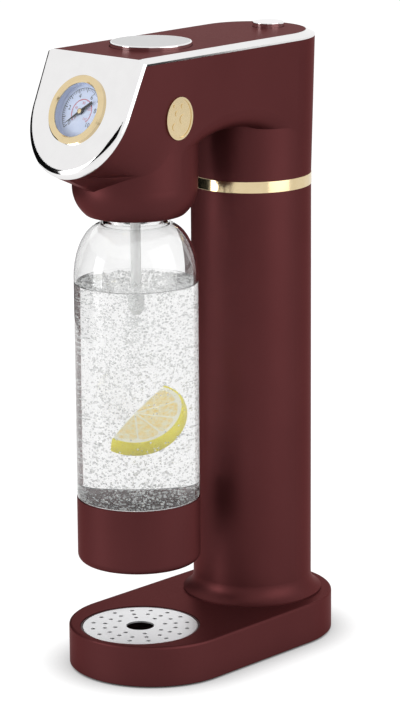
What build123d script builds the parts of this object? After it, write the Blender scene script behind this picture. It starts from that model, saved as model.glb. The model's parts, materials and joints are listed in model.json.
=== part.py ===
"""Countertop carbonation machine: a gas cylinder in a round column, a head that reaches forward
over a screw-in bottle, and a long base with a drip tray.

Millimetres. +Z is up, the front of the machine faces -Y, and the origin is the centre of the
base's footprint on the table.
"""

import os
from math import acos, atan2, cos, radians, sin, sqrt, tan

from build123d import *

os.makedirs("parts", exist_ok=True)

# ---------------------------------------------------------------- driving dimensions
# Gaps
fit_gap = 0.1  # pieces of one body that slide together in assembly
loose_gap = 0.3  # pieces that move past each other
shaft_gap = 0.06  # radial, a shaft running in its bore

# Base
base_width = 123.2
base_front_land = 4.1  # front end of the base to the rim of the drip cup
base_heel = 14.0  # back of the column to the rear end of the base
base_height = 30.8  # top of the deck above the table
foot_lift = 1.2  # table to the underside of the base
base_wall = 3.0
deck_thickness = 3.2
base_top_round = 1.8
base_bottom_chamfer = 0.6
base_plate_thickness = 2.0
foot_radius = 7.0
foot_inset = 16.0  # rim of the base to the centre of a foot
foot_recess = 0.8
foot_chamfer = 0.4
base_screw_radius = 1.5
base_screw_head_radius = 2.9
base_screw_length = 12.0
base_screw_inset = 8.0
base_screw_turn = 20.0  # round the base's ends, from the side
base_boss_radius = 4.0
screw_end_gap = 0.5
screw_slot_length = 4.0
screw_slot_width = 0.8
screw_slot_depth = 1.0

# Drip tray
drip_plate_radius = 41.7
drip_plate_thickness = 1.2
drip_plate_drop = 0.6  # deck to the top of the plate
drip_plate_edge_round = 0.4
drip_hole_radius = 1.65
drip_centre_hole_radius = 10.1
drip_ring_radii = (18.3, 26.0, 34.6)
drip_ring_counts = (8, 16, 16)
drip_ring_turn = 8.6
cup_rim_width = 1.0
cup_rim_thickness = 0.8
cup_rim_land = 2.6  # how far the rim bears on the base's ledge
cup_wall = 1.6
cup_depth = 16.0
tray_ring_wall = 2.4
tray_ring_depth = 8.0

# Column
column_radius = 43.9
column_wall = 2.4
column_top = 338.5
flare_radius = 51.5
flare_height = 13.0
flare_lip = 1.2
ring_height = 8.3
ring_proud = 0.3
ring_edge_round = 0.25
guide_overlap = 20.0  # how far the upper guide reaches into the column and into the head
guide_wall = 5.0
guide_spigot = 12.0  # how far the lower guide stands up into the column
tie_rod_radius = 2.0
tie_rod_circle = 38.2
tie_nut_radius = 4.04
tie_nut_height = 4.0
rod_end_proud = 1.5
thread_gap = 0.05

# Gas cylinder
cylinder_radius = 30.0
cylinder_floor = 6.0
cylinder_body_height = 334.0
cylinder_bottom_round = 9.0
cylinder_shoulder_height = 26.0
cylinder_neck_radius = 14.0
cylinder_wall = 3.0
cylinder_neck_bore = 8.0
cylinder_height = 372.0
valve_hex_radius = 13.0
valve_hex_height = 9.0
valve_hex_lift = 6.0
valve_chamfer = 1.0
valve_pin_depth = 12.0
valve_thread_radius = 10.5
valve_pin_radius = 1.5
valve_pin_proud = 2.0
hatch_radius = 31.6
hatch_thickness = 4.0
hatch_lift = 0.2  # underside of the base to the face of the hatch
hatch_lug_reach = 4.0
hatch_lug_width = 14.0
hatch_lug_height = 2.0
hatch_open_angle = 45.0
hatch_grip_width = 7.0
hatch_grip_length = 34.0
hatch_grip_depth = 2.4
hatch_grip_offset = 8.5

# Head
head_top = 450.5
head_reach = 121.6  # column axis to bottle axis
head_radius = 46.5  # half width of the head just under the trim
head_wall = 2.6
skin_overshoot = 2.0  # how far the hollow inside runs past the skin's open ends
trim_height = 4.2
trim_width = 5.9
trim_step = 1.3  # upright foot of the trim's chamfer
trim_lip = 0.6
trim_shelf_width = 2.4
trim_shelf_thickness = 1.6
cup_floor = 333.9  # underside of the head over the bottle
cup_flat_radius = 34.5
cup_swell_radius = 42.0
cup_swell_height = 9.9
cup_swell_turn = 0.75  # share of the skin's thickness that the swell moves, in and up
cup_shoulder_height = 22.0
cup_edge_round = 3.0
nose_turns = (0, 12, 24, 36, 48, 60, 72, 83)  # slices round the lower end of the face
nose_bite = 0.05  # how far the nose's sides run under the cup's surface
nose_root_z = 356.0  # where the underside of the nose runs out
nose_root_half = 3.0
neck_hole_radius = 24.5
arch_apex = 390.0
arch_height = 35.0
arch_half_length = 60.8
arch_round = 14.0  # the arch's edges turn into the sides of the head
arch_turns = (0, 20, 40, 60, 76)  # slices round that edge
arch_run_out = 2.0  # how far the rounded edge is cut past the side
lid_thickness = 2.6
chassis_thickness = 2.5
chassis_lift = 4.5  # skin over the arch to the underside of the chassis
chassis_half_width = 39.3
chassis_corner = 6.0
chassis_front_reach = 14.0  # chassis in front of the bottle axis
ledge_length = 12.0
ledge_height = 6.5
ledge_reach = 5.5  # under the edge of the chassis
ledge_root = 4.7  # beyond the edge of the chassis, into the skin
chassis_screw_radius = 1.5
chassis_screw_head_radius = 3.0
chassis_screw_length = 8.0
chassis_screw_head = 2.3
chassis_screw_round = 0.5
socket_screws = ((15.0, 8.0), (8.0, -15.0))  # on both sides of the column axis
block_screws = ((13.0, -3.0), (-13.0, -3.0), (0.0, -10.5))  # round the bottle axis, clear of the lever

# Slanted face and its plate
face_tilt = 25.0  # from the vertical
face_top_y = 39.0  # front of the bottle axis to the top edge of the face
face_depth = 5.0  # front of the plate to the edge of the skin
face_half_width = 46.4
face_waist_half_width = 45.4  # where the round lower end begins
face_waist_drop = 38.2
face_round_length = 50.0
face_bevel = 5.9  # width of the rolled edge
edge_turns = (0, 22, 45, 68, 90)  # where the rolled edge is drawn, in degrees
face_sheet = 1.6
face_top_margin = 3.0  # the plate is cut from a piece this much longer at the top
face_pocket_inset = 5.6
face_lip_wall = 1.4
face_lip_depth = 3.5

# Pressure gauge
gauge_drop = 39.95  # top edge of the face to the gauge's centre, down the face
bezel_radius = 24.7
bezel_height = 2.4
bezel_window_radius = 19.4
gauge_case_radius = 22.0
gauge_case_wall = 1.0
gauge_case_depth = 18.0
gauge_glass_thickness = 1.2
gauge_dial_drop = 5.0
gauge_dial_thickness = 0.6
gauge_arbor_radius = 0.7
needle_length = 14.4
needle_tail = 11.4
needle_thickness = 0.4
needle_hub_radius = 2.0
needle_rest_angle = 221.0
gauge_stub_radius = 3.0
gauge_stub_length = 4.5
bourdon_radius = 13.0
bourdon_section = 1.6
bourdon_sweep = 255.0
bourdon_block_radius = 2.6
bezel_chamfer = 1.0
bezel_seat_gap = 0.3
dial_seat_width = 2.0
dial_seat_thickness = 1.0
dial_rim_width = 0.8
movement_radius = 3.5
movement_gap = 1.0  # back of the dial to the movement
arbor_bearing = 6.0
arbor_end_gap = 0.5
needle_lift = 1.4  # dial to the back of the needle
needle_half_width = 1.1
needle_tail_half_width = 0.9
needle_hub_back = 0.6
needle_hub_front = 1.0

# Carbonation button and the lever under it
button_setback = 17.7  # bottle axis to the button's axis, towards the column
button_radius = 28.8
button_proud = 3.0
button_skirt = 4.0
button_travel = 5.0
button_inlay_inset = 1.4
button_inlay_thickness = 0.8
well_clearance = 0.45
well_depth = 9.0
well_wall = 2.0
stem_radius = 5.0
stem_boss_wall = 3.0
stem_boss_length = 15.0
stem_clip_radius = 8.0
stem_clip_thickness = 1.2
button_spring_radius = 10.0
button_spring_wire = 0.4
button_spring_turns = 3
lever_width = 14.0
lever_thickness = 5.0
lever_lift = 6.9  # top of the chassis to the underside of the lever
lever_pivot_setback = 28.0  # column axis to the lever's pivot
lever_nose = 7.0
lever_eye_radius = 5.5
lever_pin_radius = 2.0
lever_pin_head_radius = 3.4
lever_pin_head = 1.2
bracket_ear_thickness = 2.5
bracket_ear_length = 12.0
bracket_ear_gap = 8.0  # middle plane to the inside of an ear
bracket_ear_rise = 3.0  # top of the lever to the top of the ears
clip_gap = 0.2
button_edge_round = 0.8
bracket_floor = 2.0
push_pin_radius = 2.5

# Pressure release button and valve
release_setback = 19.4  # column axis to the release button's axis
release_radius = 11.3
release_proud = 3.6
release_skirt = 5.0
release_travel = 2.5
release_well_depth = 7.0
release_stem_radius = 2.5
release_spring_radius = 5.5
release_spring_wire = 0.3
release_spring_turns = 3
release_valve_radius = 7.0
release_valve_length = 17.0
release_stem_depth = 7.0  # into the valve
release_edge_round = 0.8

# Gas path over the bottle
nozzle_block_radius = 18.0
socket_radius = 30.0
gasket_thickness = 2.6
gasket_inner_radius = 15.0
tube_radius = 3.65
tube_bottom = 264.0
tube_tip_radius = 4.2
tube_tip_length = 13.0
tube_socket_depth = 12.0
tube_bore_radius = 1.4
safety_valve_radius = 4.5
safety_valve_length = 12.0
safety_cap_radius = 3.6
safety_thread_radius = 3.0
safety_thread_length = 5.0
safety_valve_height = 380.0
cylinder_socket_radius = 21.0
cylinder_socket_height = 34.0
gas_pipe_radius = 2.0
vent_pipe_radius = 1.6
pipe_side = 12.5  # side offset of the two pipes over the lever
pipe_rise = 7.0  # underside of the chassis to the pipes' level run
gas_pipe_bend = 4.0
vent_pipe_bend = 3.5
vent_riser_setback = 8.0  # column axis to the vent pipe's upright run
vent_port_z = 430.0
socket_port_setback = 6.0
block_port_setback = 6.0
gauge_pipe_lead = 6.8
seal_thickness = 2.0
gas_chamber_radius = 4.0
gas_chamber_height = 6.0
gas_channel_height = 20.0
block_flange = 5.0
seat_gap = 0.1  # bottle's lip to its gasket
tube_tip_taper = 4.0
tube_tip_land = 0.8

# Bottle
bottle_radius = 44.0
bottle_bottom = 81.3
bottle_wall = 1.5
bottle_neck_radius = 22.3
bottle_shoulder_top = 327.5
bottle_shoulder_height = 39.5
bottle_collar_height = 8.0
bottle_thread_core = 20.6
bottle_thread_crest = 21.9
bottle_thread_width = 1.6
bottle_thread_pitch = 4.2
bottle_thread_rings = 3
bottle_neck_bore = 18.8
bottle_lip = 357.3
sleeve_height = 47.3
sleeve_wall = 1.9
sleeve_floor = 2.4
sleeve_edge_round = 5.7
sleeve_lip_gap = 0.3  # sleeve's rim to the step in the glass
bottle_foot_round = 6.0
bottle_step_height = 3.0  # inside the glass, where its wall widens at the sleeve's rim
bottle_neck_step = 3.0
bottle_first_ring = 5.0  # lip to the middle of the top thread ring

# Badge
badge_width = 26.0
badge_height = 30.0
badge_thickness = 1.6
badge_recess = 0.6
badge_rim = 1.5
badge_field_drop = 0.5
badge_centre_z = 406.5
badge_setback = -2.6  # bottle axis to the badge's centre
badge_bubbles = ((-4.5, -5.5, 2.6), (3.6, -1.0, 3.4), (-2.4, 3.6, 2.0), (3.0, 8.2, 1.6), (-5.0, 9.0, 1.2))
badge_bubble_rise = 0.4

# ---------------------------------------------------------------- places worked out from them
cup_rim_radius = drip_plate_radius + loose_gap + cup_rim_width
base_length = base_front_land + cup_rim_radius + head_reach + column_radius + base_heel
base_end_radius = base_width / 2
base_end_y = base_length / 2 - base_end_radius
column_y = base_length / 2 - base_heel - column_radius
bottle_y = column_y - head_reach
ring_bottom = column_top
ring_top = column_top + ring_height
seam_z = head_top - trim_height
draft_slope = (head_radius - column_radius) / (seam_z - ring_top)
column_bore = column_radius - column_wall
guide_bore = cylinder_radius + loose_gap
guide_tube_radius = guide_bore + guide_wall
rod_turns = (45, 135, 225, 315)
rod_spots = [
    (tie_rod_circle * cos(radians(turn)), column_y + tie_rod_circle * sin(radians(turn))) for turn in rod_turns
]
head_bore = column_radius - head_wall
chassis_bottom = arch_apex + head_wall + chassis_lift
chassis_top = chassis_bottom + chassis_thickness
base_plate_top = foot_lift + base_plate_thickness
lid_bottom = head_top - lid_thickness

column_plane = Plane.XZ.offset(-column_y)
bottle_plane = Plane.XZ.offset(-bottle_y)
column_axis = Axis((0, column_y, 0), (0, 0, 1))
bottle_axis = Axis((0, bottle_y, 0), (0, 0, 1))

tilt = radians(face_tilt)
face_normal = Vector(0, -cos(tilt), sin(tilt))
face_up = Vector(0, sin(tilt), cos(tilt))
face_top = Vector(0, bottle_y - face_top_y, head_top)
face_plane = Plane(origin=face_top, x_dir=(1, 0, 0), z_dir=face_normal)
skin_edge_plane = face_plane.offset(-face_depth)
gauge_centre = face_top - face_up * gauge_drop
gauge_plane = Plane(origin=gauge_centre, x_dir=(1, 0, 0), z_dir=face_normal)
gauge_side_plane = Plane(origin=gauge_centre, x_dir=(1, 0, 0), z_dir=-face_up)
gauge_axis = Axis(gauge_centre, face_normal)


def head_radius_at(height):
    """Half width of the head, which narrows a little from the trim down to the column."""
    return head_radius - (seam_z - height) * draft_slope


def outline(plane, points):
    """Closed straight-sided face through points of the plane."""
    with BuildSketch(plane) as face:
        with BuildLine():
            Polyline(*points, close=True)
        make_face()
    return face.sketch


def disc(height, y, radius):
    """Level round face."""
    with BuildSketch(Plane((0, y, height))) as face:
        Circle(radius)
    return face.sketch


def stadium(height, front_y, rear_y, radius):
    """Level face with straight sides and round ends."""
    with BuildSketch(Plane((0, (front_y + rear_y) / 2, height))) as face:
        SlotCenterToCenter(rear_y - front_y, 2 * radius, rotation=90)
    return face.sketch


def face_outline(plane, inset, top_margin=0.0):
    """The slanted face's outline: straight sides that narrow a little and a round lower end."""
    top_half = face_half_width - inset
    waist_half = face_waist_half_width - inset
    with BuildSketch(plane) as face:
        with BuildLine():
            top = Line((-top_half, top_margin), (top_half, top_margin))
            right = Line(top @ 1, (waist_half, -face_waist_drop))
            EllipticalCenterArc(
                (0, -face_waist_drop), waist_half, face_round_length - inset, start_angle=180, arc_size=180
            )
            Line((-waist_half, -face_waist_drop), top @ 0)
        make_face()
    return face.sketch


def block_ahead_of(plane):
    """Everything of the head's size in front of a plane."""
    with BuildPart() as block:
        with BuildSketch(plane):
            Rectangle(3 * head_radius, 6 * head_radius)
        extrude(amount=2 * head_radius)
    return block.part


def coil(y, bottom, height, radius, wire, turns):
    """Compression spring standing on bottom."""
    run = height - 2 * wire
    with BuildPart() as spring:
        with BuildLine():
            path = Helix(run / turns, run, radius, center=(0, y, bottom + wire))
        with BuildSketch(Plane(origin=path @ 0, z_dir=path % 0)):
            Circle(wire)
        sweep(is_frenet=True)
    return spring.part


def pipe(points, radius, bend):
    """Solid stand-in for a rigid gas pipe with bent corners."""
    with BuildPart() as run:
        with BuildLine():
            path = FilletPolyline(*points, radius=bend)
        with BuildSketch(Plane(origin=path @ 0, z_dir=path % 0)):
            Circle(radius)
        sweep()
    return run.part


# ---------------------------------------------------------------- base
foot_x = base_end_radius - foot_inset
foot_spots = [(side * foot_x, end * base_end_y) for side in (-1, 1) for end in (-1, 1)]
foot_spots += [(0, end * (base_length / 2 - foot_inset)) for end in (-1, 0, 1)]
screw_reach = base_end_radius - base_screw_inset
base_screw_x = screw_reach * cos(radians(base_screw_turn))
base_screw_y = base_end_y + screw_reach * sin(radians(base_screw_turn))
base_screw_spots = [(side * base_screw_x, end * base_screw_y) for side in (-1, 1) for end in (-1, 1)]
base_screw_spots += [(side * screw_reach, 0) for side in (-1, 1)]

tray_recess_radius = cup_rim_radius + loose_gap
cup_top = base_height - drip_plate_drop
cup_shelf = cup_top - drip_plate_thickness
cup_ledge = cup_shelf - cup_rim_thickness
cup_outer_radius = cup_rim_radius - cup_rim_land
tray_bore_radius = cup_outer_radius + loose_gap
cup_bottom = cup_top - cup_depth

with BuildPart() as base_shell:
    add(stadium(foot_lift, -base_end_y, base_end_y, base_end_radius))
    extrude(amount=base_height - foot_lift)
    fillet(base_shell.edges().group_by(Axis.Z)[-1], base_top_round)
    chamfer(base_shell.edges().group_by(Axis.Z)[0], base_bottom_chamfer)
    add(stadium(foot_lift, -base_end_y, base_end_y, base_end_radius - base_wall))
    extrude(amount=base_height - foot_lift - deck_thickness, mode=Mode.SUBTRACT)
    add(disc(cup_ledge - tray_ring_depth, bottle_y, tray_bore_radius + tray_ring_wall))
    extrude(until=Until.NEXT)
    add(disc(cup_ledge, bottle_y, tray_recess_radius))
    extrude(amount=base_height, mode=Mode.SUBTRACT)
    add(disc(foot_lift, bottle_y, tray_bore_radius))
    extrude(amount=base_height, mode=Mode.SUBTRACT)
    add(disc(foot_lift, column_y, guide_tube_radius + fit_gap))
    extrude(amount=base_height, mode=Mode.SUBTRACT)
    with BuildSketch(Plane.XY.offset(base_plate_top)):
        with Locations(*base_screw_spots):
            Circle(base_boss_radius)
    extrude(amount=base_height - deck_thickness - base_plate_top)
    with BuildSketch(Plane.XY.offset(base_plate_top)):
        with Locations(*base_screw_spots):
            Circle(base_screw_radius)
    extrude(amount=base_screw_length, mode=Mode.SUBTRACT)
    with BuildSketch(Plane.XY.offset(base_plate_top)):
        with Locations(*rod_spots):
            Circle(tie_rod_radius + fit_gap)
    extrude(amount=base_height, mode=Mode.SUBTRACT)
base_shell.part.label = "base_shell"
export_step(base_shell.part, "parts/base_shell.step")

with BuildPart() as base_plate:
    add(stadium(foot_lift, -base_end_y, base_end_y, base_end_radius - base_wall - fit_gap))
    extrude(amount=base_plate_thickness)
    add(disc(foot_lift, column_y, hatch_radius + loose_gap))
    extrude(amount=base_plate_thickness, mode=Mode.SUBTRACT)
    with BuildSketch(Plane((0, column_y, foot_lift))):
        with PolarLocations(hatch_radius, 2, start_angle=90 + hatch_open_angle):
            Rectangle(2 * (hatch_lug_reach + loose_gap), hatch_lug_width + 2 * loose_gap)
    extrude(amount=base_plate_thickness, mode=Mode.SUBTRACT)
    with BuildSketch(Plane.XY.offset(foot_lift)):
        with Locations(*foot_spots):
            Circle(foot_radius)
    extrude(amount=foot_recess, mode=Mode.SUBTRACT)
    with BuildSketch(Plane.XY.offset(foot_lift)):
        with Locations(*rod_spots):
            Circle(tie_rod_radius + fit_gap)
    extrude(amount=base_plate_thickness, mode=Mode.SUBTRACT)
    with Locations(*[(x, y, foot_lift) for x, y in base_screw_spots]):
        Cone(
            base_screw_head_radius + fit_gap,
            base_screw_radius + fit_gap,
            base_plate_thickness,
            align=(Align.CENTER, Align.CENTER, Align.MIN),
            mode=Mode.SUBTRACT,
        )
base_plate.part.label = "base_plate"
export_step(base_plate.part, "parts/base_plate.step")

with BuildPart() as rubber_feet:
    with BuildSketch():
        with Locations(*foot_spots):
            Circle(foot_radius - fit_gap)
    extrude(amount=foot_lift + foot_recess)
    chamfer(rubber_feet.edges().group_by(Axis.Z)[0], foot_chamfer)
rubber_feet.part.label = "rubber_feet"
export_step(rubber_feet.part, "parts/rubber_feet.step")

with BuildPart() as base_screws:
    with Locations(*[(x, y, foot_lift) for x, y in base_screw_spots]):
        Cone(
            base_screw_head_radius,
            base_screw_radius,
            base_plate_thickness,
            align=(Align.CENTER, Align.CENTER, Align.MIN),
        )
        Cylinder(
            base_screw_radius,
            base_plate_thickness + base_screw_length - screw_end_gap,
            align=(Align.CENTER, Align.CENTER, Align.MIN),
        )
        Box(
            screw_slot_length,
            screw_slot_width,
            screw_slot_depth,
            align=(Align.CENTER, Align.CENTER, Align.MIN),
            mode=Mode.SUBTRACT,
        )
base_screws.part.label = "base_screws"
export_step(base_screws.part, "parts/base_screws.step")

with BuildPart() as drip_cup:
    add(
        outline(
            bottle_plane,
            [
                (0, cup_bottom),
                (cup_outer_radius, cup_bottom),
                (cup_outer_radius, cup_ledge),
                (cup_rim_radius, cup_ledge),
                (cup_rim_radius, cup_top),
                (cup_rim_radius - cup_rim_width, cup_top),
                (cup_rim_radius - cup_rim_width, cup_shelf),
                (cup_outer_radius - cup_wall, cup_shelf),
                (cup_outer_radius - cup_wall, cup_bottom + cup_wall),
                (0, cup_bottom + cup_wall),
            ],
        )
    )
    revolve(axis=bottle_axis)
drip_cup.part.label = "drip_cup"
export_step(drip_cup.part, "parts/drip_cup.step")

with BuildPart() as drip_plate:
    add(disc(cup_shelf, bottle_y, drip_plate_radius))
    extrude(amount=drip_plate_thickness)
    fillet(drip_plate.edges().group_by(Axis.Z)[-1], drip_plate_edge_round)
    with BuildSketch(Plane((0, bottle_y, cup_shelf))):
        Circle(drip_centre_hole_radius)
        for ring_radius, ring_count in zip(drip_ring_radii, drip_ring_counts):
            with PolarLocations(ring_radius, ring_count, start_angle=drip_ring_turn):
                Circle(drip_hole_radius)
    extrude(amount=drip_plate_thickness, mode=Mode.SUBTRACT)
drip_plate.part.label = "drip_plate"
export_step(drip_plate.part, "parts/drip_plate.step")

# ---------------------------------------------------------------- column
flare_run = flare_radius - column_radius
flare_rise = flare_height - flare_lip
flare_arc = (flare_run**2 + flare_rise**2) / (2 * flare_run)
with BuildPart() as column_shell:
    with BuildSketch(column_plane):
        with BuildLine():
            wall = Line((column_radius, base_height + flare_height), (column_radius, column_top))
            Polyline(wall @ 1, (column_bore, column_top), (column_bore, base_height), (flare_radius, base_height))
            lip = Line((flare_radius, base_height), (flare_radius, base_height + flare_lip))
            RadiusArc(lip @ 1, wall @ 0, flare_arc)
        make_face()
    revolve(axis=column_axis)
column_shell.part.label = "column_shell"
export_step(column_shell.part, "parts/column_shell.step")

with BuildPart() as gold_ring:
    add(disc(ring_bottom, column_y, column_radius + ring_proud))
    extrude(amount=ring_height)
    fillet(gold_ring.edges(), ring_edge_round)
    add(disc(ring_bottom, column_y, column_bore))
    extrude(amount=ring_height, mode=Mode.SUBTRACT)
gold_ring.part.label = "gold_ring"
export_step(gold_ring.part, "parts/gold_ring.step")

guide_foot = base_plate_top + loose_gap + hatch_lug_height + loose_gap
with BuildPart() as lower_guide:
    add(disc(guide_foot, column_y, guide_tube_radius))
    extrude(amount=base_height - guide_foot)
    add(disc(base_height, column_y, column_bore - fit_gap))
    extrude(amount=guide_spigot)
    add(disc(guide_foot, column_y, guide_bore))
    extrude(amount=base_height + guide_spigot, mode=Mode.SUBTRACT)
    with BuildSketch(Plane.XY.offset(base_height)):
        with Locations(*rod_spots):
            Circle(tie_rod_radius + fit_gap)
    extrude(amount=guide_spigot, mode=Mode.SUBTRACT)
lower_guide.part.label = "lower_guide"
export_step(lower_guide.part, "parts/lower_guide.step")

with BuildPart() as upper_guide:
    add(disc(column_top - guide_overlap, column_y, head_bore - fit_gap))
    extrude(amount=2 * guide_overlap + ring_height)
    add(disc(column_top - guide_overlap, column_y, guide_bore))
    extrude(amount=2 * guide_overlap + ring_height, mode=Mode.SUBTRACT)
    with BuildSketch(Plane.XY.offset(column_top - guide_overlap)):
        with Locations(*rod_spots):
            Circle(tie_rod_radius + fit_gap)
    extrude(amount=2 * guide_overlap + ring_height, mode=Mode.SUBTRACT)
upper_guide.part.label = "upper_guide"
export_step(upper_guide.part, "parts/upper_guide.step")

rod_bottom = foot_lift
rod_top = chassis_top + tie_nut_height + rod_end_proud
with BuildPart() as tie_rods:
    with BuildSketch(Plane.XY.offset(rod_bottom)):
        with Locations(*rod_spots):
            Circle(tie_rod_radius)
    extrude(amount=rod_top - rod_bottom)
tie_rods.part.label = "tie_rods"
export_step(tie_rods.part, "parts/tie_rods.step")

with BuildPart() as tie_nuts:
    with BuildSketch(Plane.XY.offset(chassis_top)):
        with Locations(*rod_spots):
            RegularPolygon(tie_nut_radius, 6)
            Circle(tie_rod_radius + thread_gap, mode=Mode.SUBTRACT)
    extrude(amount=tie_nut_height)
tie_nuts.part.label = "tie_nuts"
export_step(tie_nuts.part, "parts/tie_nuts.step")

# ---------------------------------------------------------------- gas cylinder
cylinder_shoulder_z = cylinder_floor + cylinder_body_height - cylinder_shoulder_height
cylinder_neck_z = cylinder_floor + cylinder_body_height
valve_top = cylinder_floor + cylinder_height
valve_hex_z = cylinder_neck_z + valve_hex_lift
with BuildPart() as co2_cylinder:
    with BuildSketch(column_plane):
        with BuildLine():
            foot = Line((0, cylinder_floor), (cylinder_radius - cylinder_bottom_round, cylinder_floor))
            side_start = (cylinder_radius, cylinder_floor + cylinder_bottom_round)
            RadiusArc(foot @ 1, side_start, -cylinder_bottom_round)
            side = Line(side_start, (cylinder_radius, cylinder_shoulder_z))
            shoulder = EllipticalCenterArc(
                (cylinder_neck_radius, cylinder_shoulder_z),
                cylinder_radius - cylinder_neck_radius,
                cylinder_shoulder_height,
                arc_size=90,
            )
            Polyline(shoulder @ 1, (cylinder_neck_radius, valve_hex_z), (0, valve_hex_z), foot @ 0)
        make_face()
    revolve(axis=column_axis)
    with BuildSketch(column_plane):
        with BuildLine():
            floor = Line(
                (0, cylinder_floor + cylinder_wall), (cylinder_radius - cylinder_bottom_round, cylinder_floor + cylinder_wall)
            )
            inside = Line(
                (cylinder_radius - cylinder_wall, cylinder_floor + cylinder_bottom_round),
                (cylinder_radius - cylinder_wall, cylinder_shoulder_z),
            )
            RadiusArc(floor @ 1, inside @ 0, cylinder_wall - cylinder_bottom_round)
            dome = EllipticalCenterArc(
                (cylinder_neck_radius, cylinder_shoulder_z),
                cylinder_radius - cylinder_neck_radius - cylinder_wall,
                cylinder_shoulder_height - cylinder_wall,
                arc_size=90,
            )
            Polyline(
                dome @ 1,
                (cylinder_neck_bore, cylinder_neck_z - cylinder_wall),
                (cylinder_neck_bore, valve_hex_z),
                (0, valve_hex_z),
                floor @ 0,
            )
        make_face()
    revolve(axis=column_axis, mode=Mode.SUBTRACT)
co2_cylinder.part.label = "co2_cylinder"
export_step(co2_cylinder.part, "parts/co2_cylinder.step")

with BuildPart() as cylinder_valve:
    with BuildSketch(Plane((0, column_y, valve_hex_z))):
        RegularPolygon(valve_hex_radius, 6)
    extrude(amount=valve_hex_height)
    add(disc(valve_hex_z, column_y, valve_thread_radius))
    extrude(amount=valve_top - valve_hex_z)
    chamfer(cylinder_valve.edges().group_by(Axis.Z)[-1], valve_chamfer)
    add(disc(valve_top - valve_pin_depth, column_y, valve_pin_radius + shaft_gap))
    extrude(amount=valve_pin_depth, mode=Mode.SUBTRACT)
cylinder_valve.part.label = "cylinder_valve"
export_step(cylinder_valve.part, "parts/cylinder_valve.step")

pin_travel = button_travel * lever_pivot_setback / (head_reach - button_setback + lever_pivot_setback)
with BuildPart() as valve_pin:
    add(disc(valve_top - valve_pin_depth + pin_travel + loose_gap, column_y, valve_pin_radius))
    extrude(amount=valve_pin_depth - pin_travel - loose_gap + valve_pin_proud)
valve_pin.part.label = "valve_pin"
export_step(valve_pin.part, "parts/valve_pin.step")

hatch_face = foot_lift + hatch_lift
lug_bottom = base_plate_top + loose_gap
with BuildPart() as cylinder_hatch:
    add(disc(hatch_face, column_y, hatch_radius))
    extrude(amount=hatch_thickness)
    with BuildSketch(Plane((0, column_y, lug_bottom))):
        with PolarLocations(hatch_radius, 2, start_angle=90):
            Rectangle(2 * hatch_lug_reach, hatch_lug_width)
    extrude(amount=hatch_lug_height)
    with BuildSketch(Plane((0, column_y, hatch_face))):
        with Locations((0, hatch_grip_offset), (0, -hatch_grip_offset)):
            SlotOverall(hatch_grip_length, hatch_grip_width)
    extrude(amount=hatch_grip_depth, mode=Mode.SUBTRACT)
cylinder_hatch.part.label = "cylinder_hatch"
export_step(cylinder_hatch.part, "parts/cylinder_hatch.step")

# ---------------------------------------------------------------- head skin
arch_middle_y = bottle_y + head_reach / 2
arch_spring = arch_apex - arch_height
side_plane = Plane.YZ


def face_half_at(drop, inset):
    """Half width of the slanted face at a distance down from its top edge."""
    if drop <= face_waist_drop:
        return face_half_width - (face_half_width - face_waist_half_width) * drop / face_waist_drop - inset
    share = (drop - face_waist_drop) / (face_round_length - inset)
    return (face_waist_half_width - inset) * sqrt(1 - share**2)


def nose_slice(drop, inset, forward):
    """Level slice of the nose, from the slanted face back to where its sides meet the cup smoothly."""
    edge = skin_edge_plane.origin - face_up * drop
    half = face_half_at(drop, inset)
    front_y = edge.Y - forward
    radius = head_radius_at(edge.Z) - inset - nose_bite
    ahead = bottle_y - front_y
    turn = acos(radius / sqrt(half**2 + ahead**2)) - atan2(ahead, half)
    root_x = radius * cos(turn)
    root_y = bottle_y + radius * sin(turn)
    with BuildSketch(Plane.XY.offset(edge.Z)) as level:
        with BuildLine():
            Polyline((-half, front_y), (half, front_y), (root_x, root_y), (-root_x, root_y), close=True)
        make_face()
    return level.sketch


def nose_root_slice(inset):
    """Small level slice inside the cup, where the nose's underside runs out."""
    radius = head_radius_at(nose_root_z) - inset - nose_bite
    height = nose_root_z + inset
    front_y = bottle_y - radius
    with BuildSketch(Plane.XY.offset(height)) as level:
        with BuildLine():
            Polyline(
                (-nose_root_half, front_y),
                (nose_root_half, front_y),
                (radius, bottle_y),
                (-radius, bottle_y),
                close=True,
            )
        make_face()
    return level.sketch


def arch_slice(side, grown):
    """Upright slice of the arch at a distance from the middle plane, grown all round."""
    with BuildSketch(side_plane.offset(side)) as slice_face:
        with Locations((arch_middle_y, arch_spring)):
            Ellipse(arch_half_length + grown, arch_height + grown)
    return slice_face.sketch


def arch_form(inset):
    """What the arch takes out of the head: a straight tunnel that opens like a trumpet at both sides."""
    reach = head_radius_at(arch_apex) - arch_round
    turned = arch_round - inset
    stops = [
        (reach + turned * sin(radians(turn)), inset + turned * (1 - cos(radians(turn)))) for turn in arch_turns
    ]
    last_side, last_grown = stops[-1]
    run_out = last_grown + arch_run_out * tan(radians(arch_turns[-1]))
    with BuildPart() as arch:
        extrude(arch_slice(0, inset), amount=reach, both=True)
        for hand in (-1, 1):
            loft(sections=[arch_slice(hand * side, grown) for side, grown in stops])
            loft(
                sections=[
                    arch_slice(hand * last_side, last_grown),
                    arch_slice(hand * (last_side + arch_run_out), run_out),
                ],
                ruled=True,
            )
    return arch.part


def bridge_form(inset, top):
    """Straight-sided block between the cup and the column's cap, hollowed below by the arch."""
    low_half = head_radius_at(arch_spring) - inset
    top_half = head_radius_at(top) - inset
    end_face = outline(
        column_plane, [(-low_half, arch_spring), (low_half, arch_spring), (top_half, top), (-top_half, top)]
    )
    with BuildPart() as block:
        extrude(end_face, amount=head_reach, dir=(0, -1, 0))
        add(arch_form(inset), mode=Mode.SUBTRACT)
    return block.part


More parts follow.
